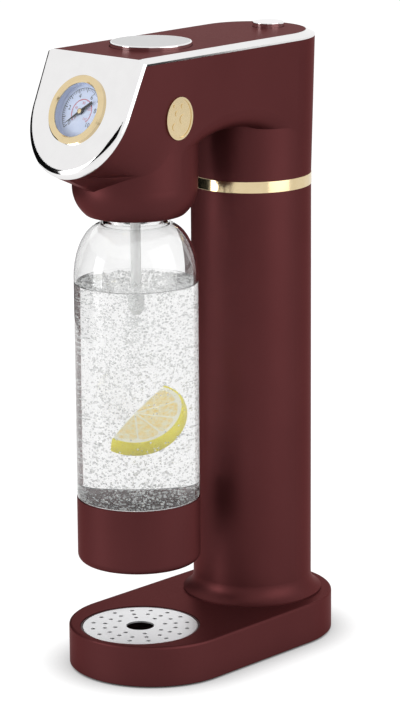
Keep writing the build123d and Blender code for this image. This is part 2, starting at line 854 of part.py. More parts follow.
def head_form(inset, overshoot):
    """Solid that the head's skin wraps, moved inwards by inset and run past the skin's open ends."""
    top = seam_z + overshoot
    ring_end = ring_top - overshoot
    floor = cup_floor + inset
    swell = (cup_swell_radius - inset * cup_swell_turn, cup_floor + cup_swell_height + inset * cup_swell_turn)
    shoulder_z = cup_floor + cup_shoulder_height
    shoulder = (head_radius_at(shoulder_z) - inset, shoulder_z)
    top_radius = head_radius_at(top) - inset
    top_drop = (skin_edge_plane.origin.Z - top) / face_up.Z
    round_length = face_round_length - inset
    drops = [face_waist_drop + round_length * sin(radians(turn)) for turn in nose_turns]
    levels = [nose_slice(drop, inset, overshoot) for drop in drops]
    with BuildPart() as form:
        add(
            outline(
                column_plane,
                [(0, ring_end), (head_radius_at(ring_end) - inset, ring_end), (top_radius, top), (0, top)],
            )
        )
        revolve(axis=column_axis)
        with BuildSketch(bottle_plane) as cup:
            with BuildLine():
                flat = Line((0, floor), (cup_flat_radius - inset, floor))
                ThreePointArc(flat @ 1, swell, shoulder)
                Polyline(shoulder, (top_radius, top), (0, top), flat @ 0)
            make_face()
            fillet(cup.vertices().group_by(Axis.Y)[0].sort_by(Axis.X)[-1], cup_edge_round)
        revolve(axis=bottle_axis)
        add(bridge_form(inset, top))
        loft(sections=[nose_slice(top_drop, inset, overshoot), levels[0]], ruled=True)
        loft(sections=levels)
        loft(sections=[levels[-1], nose_root_slice(inset)], ruled=True)
    return form.part


seat_y = (bottle_y, column_y)
seat_screw_x = chassis_half_width - ledge_reach / 2
seat_screw_spots = [(side * seat_screw_x, y) for side in (-1, 1) for y in seat_y]
badge_y = bottle_y + badge_setback
badge_skin = head_radius_at(badge_centre_z)
badge_lean = atan2(draft_slope, 1)
badge_plane = Plane(
    origin=(badge_skin, badge_y, badge_centre_z),
    x_dir=(0, 1, 0),
    z_dir=(cos(badge_lean), 0, -sin(badge_lean)),
)
with BuildPart() as head_shell:
    add(head_form(0, 0))
    add(head_form(head_wall, skin_overshoot), mode=Mode.SUBTRACT)
    add(block_ahead_of(skin_edge_plane), mode=Mode.SUBTRACT)
    add(disc(cup_floor, bottle_y, neck_hole_radius))
    extrude(amount=head_wall, mode=Mode.SUBTRACT)
    with BuildSketch(Plane.XY.offset(chassis_bottom - ledge_height)):
        for side in (-1, 1):
            for y in seat_y:
                with Locations((side * (chassis_half_width + (ledge_root - ledge_reach) / 2), y)):
                    Rectangle(ledge_reach + ledge_root, ledge_length)
    extrude(amount=ledge_height)
    with BuildSketch(Plane.XY.offset(chassis_bottom)):
        with Locations(*seat_screw_spots):
            Circle(chassis_screw_radius + thread_gap)
    extrude(amount=-ledge_height, mode=Mode.SUBTRACT)
    with BuildSketch(badge_plane):
        Ellipse(badge_width / 2 + fit_gap, badge_height / 2 + fit_gap)
    extrude(amount=-badge_recess, mode=Mode.SUBTRACT)
head_shell.part.label = "head_shell"
export_step(head_shell.part, "parts/head_shell.step")

# ---------------------------------------------------------------- trim, lid and face plate
trim_top_radius = head_radius - trim_width
trim_bore = trim_top_radius - trim_lip
trim_shelf_bore = trim_bore - trim_shelf_width
trim_front_y = face_top.Y
chamfer_foot = seam_z + trim_step
with BuildPart() as chrome_trim:
    add(stadium(seam_z, trim_front_y, column_y, head_radius))
    extrude(amount=trim_step)
    loft(
        sections=[
            stadium(chamfer_foot, trim_front_y, column_y, head_radius),
            stadium(head_top, trim_front_y, column_y, trim_top_radius),
        ],
        ruled=True,
    )
    add(stadium(seam_z, trim_front_y, column_y, trim_shelf_bore))
    extrude(amount=trim_height, mode=Mode.SUBTRACT)
    add(stadium(lid_bottom, trim_front_y, column_y, trim_bore))
    extrude(amount=lid_thickness, mode=Mode.SUBTRACT)
    add(block_ahead_of(skin_edge_plane), mode=Mode.SUBTRACT)
chrome_trim.part.label = "chrome_trim"
export_step(chrome_trim.part, "parts/chrome_trim.step")

button_y = bottle_y + button_setback
release_y = column_y + release_setback
well_floor = head_top - well_depth
release_floor = head_top - release_well_depth
well_radius = button_radius + well_clearance
release_well_radius = release_radius + well_clearance
boss_bottom = well_floor - stem_boss_length
valve_ceiling = release_floor - well_wall
with BuildPart() as head_lid:
    add(stadium(lid_bottom, trim_front_y, column_y, trim_bore - fit_gap))
    extrude(amount=lid_thickness)
    add(disc(well_floor - well_wall, button_y, well_radius + well_wall))
    extrude(amount=well_depth)
    add(disc(valve_ceiling, release_y, release_well_radius + well_wall))
    extrude(amount=release_well_depth)
    add(disc(boss_bottom, button_y, stem_radius + shaft_gap + stem_boss_wall))
    extrude(amount=stem_boss_length)
    add(disc(well_floor, button_y, well_radius))
    extrude(amount=well_depth, mode=Mode.SUBTRACT)
    add(disc(release_floor, release_y, release_well_radius))
    extrude(amount=release_well_depth, mode=Mode.SUBTRACT)
    add(disc(boss_bottom, button_y, stem_radius + shaft_gap))
    extrude(amount=stem_boss_length, mode=Mode.SUBTRACT)
    add(disc(valve_ceiling, release_y, release_stem_radius + shaft_gap))
    extrude(amount=well_wall, mode=Mode.SUBTRACT)
    add(block_ahead_of(face_plane.offset(-face_sheet - fit_gap)), mode=Mode.SUBTRACT)
head_lid.part.label = "head_lid"
export_step(head_lid.part, "parts/head_lid.step")

face_foot_z = head_top - 3 * head_radius
plate_envelope = outline(
    column_plane,
    [
        (-head_radius, face_foot_z),
        (head_radius, face_foot_z),
        (head_radius, chamfer_foot),
        (trim_top_radius, head_top),
        (-trim_top_radius, head_top),
        (-head_radius, chamfer_foot),
    ],
)
lip_envelope = outline(
    column_plane,
    [
        (-head_radius, face_foot_z),
        (head_radius, face_foot_z),
        (head_radius, seam_z - loose_gap),
        (-head_radius, seam_z - loose_gap),
    ],
)
with BuildPart() as face_lip:
    lip_face = face_outline(skin_edge_plane, face_pocket_inset - face_lip_wall, face_top_margin)
    extrude(lip_face, amount=face_lip_depth, dir=-face_normal)
    extrude(lip_envelope, amount=2 * head_reach, dir=(0, -1, 0), mode=Mode.INTERSECT)
with BuildPart() as face_plate:
    loft(
        sections=[
            face_outline(
                face_plane.offset(-face_depth * (1 - sin(radians(turn)))),
                face_bevel * (1 - cos(radians(turn))),
                face_top_margin,
            )
            for turn in edge_turns
        ]
    )
    extrude(plate_envelope, amount=2 * head_reach, dir=(0, -1, 0), mode=Mode.INTERSECT)
    add(face_lip.part)
    pocket_face = face_outline(face_plane.offset(-face_sheet), face_pocket_inset, 2 * face_top_margin)
    extrude(pocket_face, amount=face_depth + face_lip_depth, dir=-face_normal, mode=Mode.SUBTRACT)
    with BuildSketch(gauge_plane):
        Circle(gauge_case_radius + fit_gap)
    extrude(amount=-face_sheet, mode=Mode.SUBTRACT)
face_plate.part.label = "face_plate"
export_step(face_plate.part, "parts/face_plate.step")

# ---------------------------------------------------------------- pressure gauge
case_bore = gauge_case_radius - gauge_case_wall
case_floor = gauge_case_wall - gauge_case_depth
dial_back = -gauge_dial_drop - gauge_dial_thickness
with BuildPart() as gauge_case:
    add(
        outline(
            gauge_side_plane,
            [
                (0, -gauge_case_depth),
                (gauge_case_radius, -gauge_case_depth),
                (gauge_case_radius, 0),
                (case_bore, 0),
                (case_bore, dial_back),
                (case_bore - dial_seat_width, dial_back),
                (case_bore - dial_seat_width, dial_back - dial_seat_thickness),
                (case_bore, dial_back - dial_seat_thickness),
                (case_bore, case_floor),
                (0, case_floor),
            ],
        )
    )
    revolve(axis=gauge_axis)
    with BuildSketch(gauge_plane.offset(-gauge_case_depth)):
        Circle(gauge_stub_radius)
    extrude(amount=-gauge_stub_length)
gauge_case.part.label = "gauge_case"
export_step(gauge_case.part, "parts/gauge_case.step")

with BuildPart() as gauge_bezel:
    add(
        outline(
            gauge_side_plane,
            [
                (case_bore + bezel_seat_gap, 0),
                (bezel_radius, 0),
                (bezel_radius, bezel_height - bezel_chamfer),
                (bezel_radius - bezel_chamfer, bezel_height),
                (bezel_window_radius + bezel_chamfer, bezel_height),
                (bezel_window_radius, bezel_height - bezel_chamfer),
                (bezel_window_radius, gauge_glass_thickness / 2),
                (case_bore + bezel_seat_gap, gauge_glass_thickness / 2),
            ],
        )
    )
    revolve(axis=gauge_axis)
gauge_bezel.part.label = "gauge_bezel"
export_step(gauge_bezel.part, "parts/gauge_bezel.step")

with BuildPart() as gauge_glass:
    with BuildSketch(gauge_plane.offset(-gauge_glass_thickness / 2)):
        Circle(case_bore - fit_gap)
    extrude(amount=gauge_glass_thickness)
gauge_glass.part.label = "gauge_glass"
export_step(gauge_glass.part, "parts/gauge_glass.step")

with BuildPart() as gauge_dial:
    with BuildSketch(gauge_plane.offset(dial_back)):
        Circle(case_bore - fit_gap)
    extrude(amount=-dial_back - gauge_glass_thickness / 2)
    with BuildSketch(gauge_plane.offset(-gauge_dial_drop)):
        Circle(case_bore - fit_gap - dial_rim_width)
    extrude(amount=gauge_dial_drop, mode=Mode.SUBTRACT)
    with BuildSketch(gauge_plane):
        Circle(gauge_arbor_radius + shaft_gap)
    extrude(amount=-gauge_case_depth, mode=Mode.SUBTRACT)
gauge_dial.part.label = "gauge_dial"
export_step(gauge_dial.part, "parts/gauge_dial.step")

movement_top = dial_back - movement_gap
with BuildPart() as gauge_movement:
    with BuildSketch(gauge_plane.offset(case_floor)):
        Circle(movement_radius)
    extrude(amount=movement_top - case_floor)
    with BuildSketch(gauge_plane.offset(movement_top - arbor_bearing)):
        Circle(gauge_arbor_radius + shaft_gap)
    extrude(amount=arbor_bearing, mode=Mode.SUBTRACT)
gauge_movement.part.label = "gauge_movement"
export_step(gauge_movement.part, "parts/gauge_movement.step")

bourdon_height = (movement_top + case_floor) / 2
bourdon_plane = gauge_plane.offset(bourdon_height)
with BuildPart() as bourdon_tube:
    with BuildLine(bourdon_plane):
        bourdon_path = CenterArc((0, 0), bourdon_radius, start_angle=-90, arc_size=bourdon_sweep)
    with BuildSketch(Plane(origin=bourdon_path @ 0, z_dir=bourdon_path % 0)):
        Circle(bourdon_section)
    sweep()
    with BuildSketch(gauge_plane.offset(case_floor)):
        with Locations((0, -bourdon_radius)):
            Circle(bourdon_block_radius)
    extrude(amount=bourdon_height + bourdon_block_radius - case_floor)
bourdon_tube.part.label = "bourdon_tube"
export_step(bourdon_tube.part, "parts/bourdon_tube.step")

needle_height = -gauge_dial_drop + needle_lift
rest_turn = radians(needle_rest_angle)
needle_plane = Plane(
    origin=gauge_centre + face_normal * needle_height,
    x_dir=Vector(cos(rest_turn), 0, 0) + face_up * sin(rest_turn),
    z_dir=face_normal,
)
with BuildPart() as gauge_needle:
    add(
        outline(
            needle_plane,
            [
                (needle_length, 0),
                (0, needle_half_width),
                (-needle_tail, needle_tail_half_width),
                (-needle_tail, -needle_tail_half_width),
                (0, -needle_half_width),
            ],
        )
    )
    extrude(dir=face_normal, amount=needle_thickness)
    with BuildSketch(needle_plane.offset(-needle_hub_back)):
        Circle(needle_hub_radius)
    extrude(amount=needle_hub_back + needle_hub_front)
    with BuildSketch(needle_plane):
        Circle(gauge_arbor_radius)
    extrude(amount=movement_top - arbor_bearing + arbor_end_gap - needle_height)
gauge_needle.part.label = "gauge_needle"
export_step(gauge_needle.part, "parts/gauge_needle.step")

# ---------------------------------------------------------------- chassis and what it carries
chassis_front = bottle_y - chassis_front_reach
chassis_depth = column_y - chassis_front
socket_screw_spots = [(side * x, column_y + y) for side in (-1, 1) for x, y in socket_screws]
block_screw_spots = [(x, bottle_y + y) for x, y in block_screws]
chassis_screw_spots = seat_screw_spots + socket_screw_spots + block_screw_spots
gas_pipe_ends = [(pipe_side, column_y - socket_port_setback), (pipe_side, bottle_y + block_port_setback)]
vent_pipe_end = (-pipe_side, bottle_y + block_port_setback)
lever_bottom = chassis_top + lever_lift
lever_top = lever_bottom + lever_thickness
pivot_y = column_y + lever_pivot_setback
pivot_z = lever_bottom + lever_thickness / 2
bracket_top = chassis_top + bracket_floor

with BuildPart() as head_chassis:
    with BuildSketch(Plane.XY.offset(chassis_bottom)):
        with BuildLine():
            Polyline(
                (-chassis_half_width, column_y),
                (-chassis_half_width, chassis_front + chassis_corner),
                (chassis_corner - chassis_half_width, chassis_front),
                (chassis_half_width - chassis_corner, chassis_front),
                (chassis_half_width, chassis_front + chassis_corner),
                (chassis_half_width, column_y),
                close=True,
            )
        make_face()
        with Locations((0, column_y)):
            Circle(chassis_half_width)
        with Locations(*rod_spots):
            Circle(tie_rod_radius + fit_gap, mode=Mode.SUBTRACT)
        with Locations(*chassis_screw_spots):
            Circle(chassis_screw_radius + fit_gap, mode=Mode.SUBTRACT)
        with Locations((0, column_y)):
            Circle(push_pin_radius + loose_gap, mode=Mode.SUBTRACT)
        with Locations(*gas_pipe_ends):
            Circle(gas_pipe_radius + fit_gap, mode=Mode.SUBTRACT)
        with Locations(vent_pipe_end):
            Circle(vent_pipe_radius + fit_gap, mode=Mode.SUBTRACT)
    extrude(amount=chassis_thickness)
head_chassis.part.label = "head_chassis"
export_step(head_chassis.part, "parts/head_chassis.step")

with BuildPart() as chassis_screws:
    with BuildSketch(Plane.XY.offset(chassis_top)):
        with Locations(*chassis_screw_spots):
            Circle(chassis_screw_head_radius)
    extrude(amount=chassis_screw_head)
    fillet(chassis_screws.edges().group_by(Axis.Z)[-1], chassis_screw_round)
    with BuildSketch(Plane.XY.offset(chassis_top + chassis_screw_head)):
        with Locations(*chassis_screw_spots):
            Rectangle(screw_slot_length, screw_slot_width)
    extrude(amount=-screw_slot_depth, mode=Mode.SUBTRACT)
    with BuildSketch(Plane.XY.offset(chassis_top - chassis_screw_length)):
        with Locations(*chassis_screw_spots):
            Circle(chassis_screw_radius)
    extrude(amount=chassis_screw_length)
chassis_screws.part.label = "chassis_screws"
export_step(chassis_screws.part, "parts/chassis_screws.step")

with BuildPart() as lever_bracket:
    with BuildSketch(Plane((0, pivot_y, chassis_top))):
        Rectangle(2 * (bracket_ear_gap + bracket_ear_thickness), bracket_ear_length)
    extrude(amount=lever_top + bracket_ear_rise - chassis_top)
    with BuildSketch(Plane((0, pivot_y, bracket_top))):
        Rectangle(2 * bracket_ear_gap, bracket_ear_length)
    extrude(amount=lever_top + bracket_ear_rise - bracket_top, mode=Mode.SUBTRACT)
    with BuildSketch(side_plane):
        with Locations((pivot_y, pivot_z)):
            Circle(lever_pin_radius + thread_gap)
    extrude(amount=head_radius, both=True, mode=Mode.SUBTRACT)
lever_bracket.part.label = "lever_bracket"
export_step(lever_bracket.part, "parts/lever_bracket.step")

ear_outside = bracket_ear_gap + bracket_ear_thickness
with BuildPart() as lever_pin:
    with BuildSketch(side_plane):
        with Locations((pivot_y, pivot_z)):
            Circle(lever_pin_head_radius)
    extrude(amount=ear_outside + lever_pin_head, both=True)
    with BuildSketch(side_plane):
        with Locations((pivot_y, pivot_z)):
            Circle(lever_pin_head_radius)
            Circle(lever_pin_radius, mode=Mode.SUBTRACT)
    extrude(amount=ear_outside, both=True, mode=Mode.SUBTRACT)
lever_pin.part.label = "lever_pin"
export_step(lever_pin.part, "parts/lever_pin.step")

# ---------------------------------------------------------------- carbonation button and lever
with BuildPart() as carbonation_lever:
    add(stadium(lever_bottom, button_y, pivot_y - lever_width / 2, lever_width / 2))
    extrude(amount=lever_thickness)
    with BuildSketch(side_plane):
        with Locations((pivot_y, pivot_z)):
            Circle(lever_eye_radius)
    extrude(amount=lever_width / 2, both=True)
    with BuildSketch(side_plane):
        with Locations((pivot_y, pivot_z)):
            Circle(lever_pin_radius + shaft_gap)
    extrude(amount=lever_width, both=True, mode=Mode.SUBTRACT)
carbonation_lever.part.label = "carbonation_lever"
export_step(carbonation_lever.part, "parts/carbonation_lever.step")

button_top = head_top + button_proud
button_underside = button_top - button_skirt
with BuildPart() as carbonation_button:
    add(disc(button_underside, button_y, button_radius))
    extrude(amount=button_skirt)
    fillet(carbonation_button.edges().group_by(Axis.Z)[-1], button_edge_round)
    add(disc(button_top, button_y, button_radius - button_inlay_inset))
    extrude(amount=-button_inlay_thickness, mode=Mode.SUBTRACT)
    add(disc(lever_top + loose_gap, button_y, stem_radius))
    extrude(amount=button_underside - lever_top - loose_gap)
carbonation_button.part.label = "carbonation_button"
export_step(carbonation_button.part, "parts/carbonation_button.step")

with BuildPart() as button_inlay:
    add(disc(button_top, button_y, button_radius - button_inlay_inset - fit_gap))
    extrude(amount=-button_inlay_thickness)
button_inlay.part.label = "button_inlay"
export_step(button_inlay.part, "parts/button_inlay.step")

with BuildPart() as stem_clip:
    add(disc(boss_bottom - clip_gap, button_y, stem_clip_radius))
    extrude(amount=-stem_clip_thickness)
    add(disc(boss_bottom - clip_gap, button_y, stem_radius + thread_gap))
    extrude(amount=-stem_clip_thickness, mode=Mode.SUBTRACT)
stem_clip.part.label = "stem_clip"
export_step(stem_clip.part, "parts/stem_clip.step")

with BuildPart() as button_spring:
    add(
        coil(
            button_y,
            well_floor,
            button_underside - well_floor,
            button_spring_radius,
            button_spring_wire,
            button_spring_turns,
        )
    )
button_spring.part.label = "button_spring"
export_step(button_spring.part, "parts/button_spring.step")

with BuildPart() as push_pin:
    add(disc(valve_top + valve_pin_proud + loose_gap, column_y, push_pin_radius))
    extrude(amount=lever_bottom - valve_top - valve_pin_proud - 2 * loose_gap)
push_pin.part.label = "push_pin"
export_step(push_pin.part, "parts/push_pin.step")

# ---------------------------------------------------------------- pressure release button and valve
release_top = head_top + release_proud
release_underside = release_top - release_skirt
release_stem_bottom = valve_ceiling - release_stem_depth
with BuildPart() as release_button:
    add(disc(release_underside, release_y, release_radius))
    extrude(amount=release_skirt)
    fillet(release_button.edges().group_by(Axis.Z)[-1], release_edge_round)
    add(disc(release_stem_bottom, release_y, release_stem_radius))
    extrude(amount=release_underside - release_stem_bottom)
release_button.part.label = "release_button"
export_step(release_button.part, "parts/release_button.step")

with BuildPart() as release_spring:
    add(
        coil(
            release_y,
            release_floor,
            release_underside - release_floor,
            release_spring_radius,
            release_spring_wire,
            release_spring_turns,
        )
    )
release_spring.part.label = "release_spring"
export_step(release_spring.part, "parts/release_spring.step")

valve_bottom = valve_ceiling - release_valve_length
with BuildPart() as release_valve:
    add(disc(valve_bottom, release_y, release_valve_radius))
    extrude(amount=release_valve_length)
    add(disc(release_stem_bottom - release_travel - loose_gap, release_y, release_stem_radius + shaft_gap))
    extrude(amount=release_valve_length, mode=Mode.SUBTRACT)
release_valve.part.label = "release_valve"
export_step(release_valve.part, "parts/release_valve.step")

# ---------------------------------------------------------------- gas path
seal_top = valve_top + seal_thickness
gas_chamber_top = seal_top + gas_chamber_height
socket_bottom = chassis_bottom - cylinder_socket_height
with BuildPart() as cylinder_socket:
    add(disc(socket_bottom, column_y, cylinder_socket_radius))
    extrude(amount=cylinder_socket_height)
    add(disc(socket_bottom, column_y, valve_thread_radius + loose_gap))
    extrude(amount=seal_top - socket_bottom, mode=Mode.SUBTRACT)
    add(disc(seal_top, column_y, gas_chamber_radius))
    extrude(amount=gas_chamber_height, mode=Mode.SUBTRACT)
    add(disc(gas_chamber_top, column_y, push_pin_radius + shaft_gap))
    extrude(amount=chassis_bottom - gas_chamber_top, mode=Mode.SUBTRACT)
    with BuildSketch(Plane.XY.offset(chassis_bottom)):
        with Locations(*socket_screw_spots):
            Circle(chassis_screw_radius + thread_gap)
    extrude(amount=-chassis_screw_length, mode=Mode.SUBTRACT)
cylinder_socket.part.label = "cylinder_socket"
export_step(cylinder_socket.part, "parts/cylinder_socket.step")

with BuildPart() as cylinder_seal:
    add(disc(valve_top, column_y, valve_thread_radius + loose_gap - fit_gap))
    extrude(amount=seal_thickness)
    add(disc(valve_top, column_y, gas_chamber_radius))
    extrude(amount=seal_thickness, mode=Mode.SUBTRACT)
cylinder_seal.part.label = "cylinder_seal"
export_step(cylinder_seal.part, "parts/cylinder_seal.step")

gasket_bottom = bottle_lip + seat_gap
block_bottom = gasket_bottom + gasket_thickness
mouth_bottom = cup_floor + head_wall
with BuildPart() as nozzle_block:
    add(disc(block_bottom, bottle_y, socket_radius))
    extrude(amount=block_flange)
    add(disc(block_bottom, bottle_y, nozzle_block_radius))
    extrude(amount=chassis_bottom - block_bottom)
    add(disc(block_bottom, bottle_y, tube_radius + fit_gap))
    extrude(amount=tube_socket_depth, mode=Mode.SUBTRACT)
    add(disc(block_bottom, bottle_y, tube_bore_radius))
    extrude(amount=gas_channel_height, mode=Mode.SUBTRACT)
    with BuildSketch(side_plane.offset(nozzle_block_radius - safety_thread_length)):
        with Locations((bottle_y, safety_valve_height)):
            Circle(safety_thread_radius + thread_gap)
    extrude(amount=safety_thread_length, mode=Mode.SUBTRACT)
    with BuildSketch(Plane.XY.offset(chassis_bottom)):
        with Locations(*block_screw_spots):
            Circle(chassis_screw_radius + thread_gap)
    extrude(amount=-chassis_screw_length, mode=Mode.SUBTRACT)
nozzle_block.part.label = "nozzle_block"
export_step(nozzle_block.part, "parts/nozzle_block.step")

with BuildPart() as bottle_socket:
    add(disc(mouth_bottom, bottle_y, socket_radius))
    extrude(amount=block_bottom - mouth_bottom)
    add(disc(mouth_bottom, bottle_y, bottle_neck_radius + loose_gap))
    extrude(amount=block_bottom - mouth_bottom, mode=Mode.SUBTRACT)
bottle_socket.part.label = "bottle_socket"
export_step(bottle_socket.part, "parts/bottle_socket.step")

with BuildPart() as bottle_gasket:
    add(disc(gasket_bottom, bottle_y, bottle_thread_crest))
    extrude(amount=gasket_thickness)
    add(disc(gasket_bottom, bottle_y, gasket_inner_radius))
    extrude(amount=gasket_thickness, mode=Mode.SUBTRACT)
bottle_gasket.part.label = "bottle_gasket"
export_step(bottle_gasket.part, "parts/bottle_gasket.step")

tube_top = block_bottom + tube_socket_depth
tip_top = tube_bottom + tube_tip_length
with BuildPart() as carbonation_tube:
    add(
        outline(
            bottle_plane,
            [
                (tube_bore_radius, tube_top),
                (tube_radius, tube_top),
                (tube_radius, tip_top),
                (tube_tip_radius, tip_top),
                (tube_tip_radius, tube_bottom + tube_tip_taper),
                (tube_bore_radius + tube_tip_land, tube_bottom),
                (tube_bore_radius, tube_bottom),
            ],
        )
    )
    revolve(axis=bottle_axis)
carbonation_tube.part.label = "carbonation_tube"
export_step(carbonation_tube.part, "parts/carbonation_tube.step")

safety_valve_seat = nozzle_block_radius + loose_gap
with BuildPart() as safety_valve:
    with BuildSketch(side_plane.offset(nozzle_block_radius - safety_thread_length)):
        with Locations((bottle_y, safety_valve_height)):
            Circle(safety_thread_radius)
    extrude(amount=safety_thread_length + safety_valve_length)
    with BuildSketch(side_plane.offset(safety_valve_seat)):
        with Locations((bottle_y, safety_valve_height)):
            RegularPolygon(safety_valve_radius, 6)
    extrude(amount=safety_valve_length / 2)
    with BuildSketch(side_plane.offset(safety_valve_seat)):
        with Locations((bottle_y, safety_valve_height)):
            Circle(safety_cap_radius)
    extrude(amount=safety_valve_length)
safety_valve.part.label = "safety_valve"
export_step(safety_valve.part, "parts/safety_valve.step")

pipe_level = chassis_bottom + pipe_rise
block_port_y = bottle_y + block_port_setback
with BuildPart() as gas_pipe:
    add(
        pipe(
            [
                (pipe_side, column_y - socket_port_setback, chassis_bottom),
                (pipe_side, column_y - socket_port_setback, pipe_level),
                (pipe_side, block_port_y, pipe_level),
                (pipe_side, block_port_y, chassis_bottom),
            ],
            gas_pipe_radius,
            gas_pipe_bend,
        )
    )
gas_pipe.part.label = "gas_pipe"
export_step(gas_pipe.part, "parts/gas_pipe.step")

with BuildPart() as vent_pipe:
    add(
        pipe(
            [
                (-pipe_side, block_port_y, chassis_bottom),
                (-pipe_side, block_port_y, pipe_level),
                (-pipe_side, column_y - vent_riser_setback, pipe_level),
                (-pipe_side, column_y - vent_riser_setback, vent_port_z),
                (-pipe_side, release_y, vent_port_z),
                (-release_valve_radius, release_y, vent_port_z),
            ],
            vent_pipe_radius,
            vent_pipe_bend,
        )
    )
vent_pipe.part.label = "vent_pipe"
export_step(vent_pipe.part, "parts/vent_pipe.step")

stub_end = gauge_centre - face_normal * (gauge_case_depth + gauge_stub_length)
gauge_pipe_y = bottle_y - nozzle_block_radius - gauge_pipe_lead
gauge_pipe_corner = stub_end - face_normal * ((stub_end.Y - gauge_pipe_y) / face_normal.Y)
with BuildPart() as gauge_pipe:
    add(
        pipe(
            [
                tuple(stub_end),
                tuple(gauge_pipe_corner),
                (0, gauge_pipe_y, safety_valve_height),
                (0, bottle_y - nozzle_block_radius, safety_valve_height),
            ],
            vent_pipe_radius,
            vent_pipe_bend,
        )
    )
gauge_pipe.part.label = "gauge_pipe"
export_step(gauge_pipe.part, "parts/gauge_pipe.step")

# ---------------------------------------------------------------- bottle
sleeve_bore = bottle_radius + loose_gap / 3 - sleeve_wall
glass_foot_radius = sleeve_bore - fit_gap
glass_bottom = bottle_bottom + sleeve_floor + fit_gap
glass_step = bottle_bottom + sleeve_height + sleeve_lip_gap
shoulder_foot = bottle_shoulder_top - bottle_shoulder_height
collar_top = bottle_shoulder_top + bottle_collar_height
ring_tops = [bottle_lip - bottle_first_ring - bottle_thread_pitch * ring for ring in range(bottle_thread_rings)]
inner_foot_radius = glass_foot_radius - bottle_wall
inner_radius = bottle_radius - bottle_wall
inner_neck_radius = bottle_neck_radius - bottle_wall
with BuildPart() as bottle:
    with BuildSketch(bottle_plane):
        with BuildLine():
            foot = Line((0, glass_bottom), (glass_foot_radius - bottle_foot_round, glass_bottom))
            foot_side = Line((glass_foot_radius, glass_bottom + bottle_foot_round), (glass_foot_radius, glass_step))
            RadiusArc(foot @ 1, foot_side @ 0, -bottle_foot_round)
            Polyline(foot_side @ 1, (bottle_radius, glass_step), (bottle_radius, shoulder_foot))
            shoulder = EllipticalCenterArc(
                (bottle_neck_radius, shoulder_foot),
                bottle_radius - bottle_neck_radius,
                bottle_shoulder_height,
                arc_size=90,
            )
            Polyline(
                shoulder @ 1,
                (bottle_neck_radius, collar_top),
                (bottle_thread_core, collar_top),
                (bottle_thread_core, bottle_lip),
                (0, bottle_lip),
                foot @ 0,
            )
        make_face()
    revolve(axis=bottle_axis)
    for ring_z in ring_tops:
        add(disc(ring_z - bottle_thread_width / 2, bottle_y, bottle_thread_crest))
        extrude(amount=bottle_thread_width)
    with BuildSketch(bottle_plane):
        with BuildLine():
            inner_foot = Line(
                (0, glass_bottom + bottle_wall), (inner_foot_radius - bottle_foot_round, glass_bottom + bottle_wall)
            )
            inner_side = Line(
                (inner_foot_radius, glass_bottom + bottle_wall + bottle_foot_round), (inner_foot_radius, glass_step)
            )
            RadiusArc(inner_foot @ 1, inner_side @ 0, -bottle_foot_round)
            Polyline(
                inner_side @ 1, (inner_radius, glass_step + bottle_step_height), (inner_radius, shoulder_foot)
            )
            inner_shoulder = EllipticalCenterArc(
                (inner_neck_radius, shoulder_foot),
                inner_radius - inner_neck_radius,
                bottle_shoulder_height - bottle_wall,
                arc_size=90,
            )
            Polyline(
                inner_shoulder @ 1,
                (bottle_neck_bore, bottle_shoulder_top + bottle_neck_step),
                (bottle_neck_bore, bottle_lip),
                (0, bottle_lip),
                inner_foot @ 0,
            )
        make_face()
    revolve(axis=bottle_axis, mode=Mode.SUBTRACT)
bottle.part.label = "bottle"
export_step(bottle.part, "parts/bottle.step")

with BuildPart() as bottle_sleeve:
    add(disc(bottle_bottom, bottle_y, sleeve_bore + sleeve_wall))
    extrude(amount=sleeve_height)
    fillet(bottle_sleeve.edges().group_by(Axis.Z)[0], sleeve_edge_round)
    add(disc(bottle_bottom + sleeve_floor, bottle_y, sleeve_bore))
    extrude(amount=sleeve_height, mode=Mode.SUBTRACT)
bottle_sleeve.part.label = "bottle_sleeve"
export_step(bottle_sleeve.part, "parts/bottle_sleeve.step")

# ---------------------------------------------------------------- badge
with BuildPart() as side_badge:
    with BuildSketch(badge_plane.offset(-badge_recess)):
        Ellipse(badge_width / 2, badge_height / 2)
    extrude(amount=badge_thickness)
    with BuildSketch(badge_plane.offset(badge_thickness - badge_recess)):
        Ellipse(badge_width / 2 - badge_rim, badge_height / 2 - badge_rim)
    extrude(amount=-badge_field_drop, mode=Mode.SUBTRACT)
    with BuildSketch(badge_plane.offset(badge_thickness - badge_recess - badge_field_drop)):
        for bubble_x, bubble_y, bubble_radius in badge_bubbles:
            with Locations((bubble_x, bubble_y)):
                Circle(bubble_radius)
    extrude(amount=badge_bubble_rise)
side_badge.part.label = "side_badge"
export_step(side_badge.part, "parts/side_badge.step")
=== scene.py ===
import json
import math
import random

import bmesh
import bpy
from mathutils import Matrix, Vector


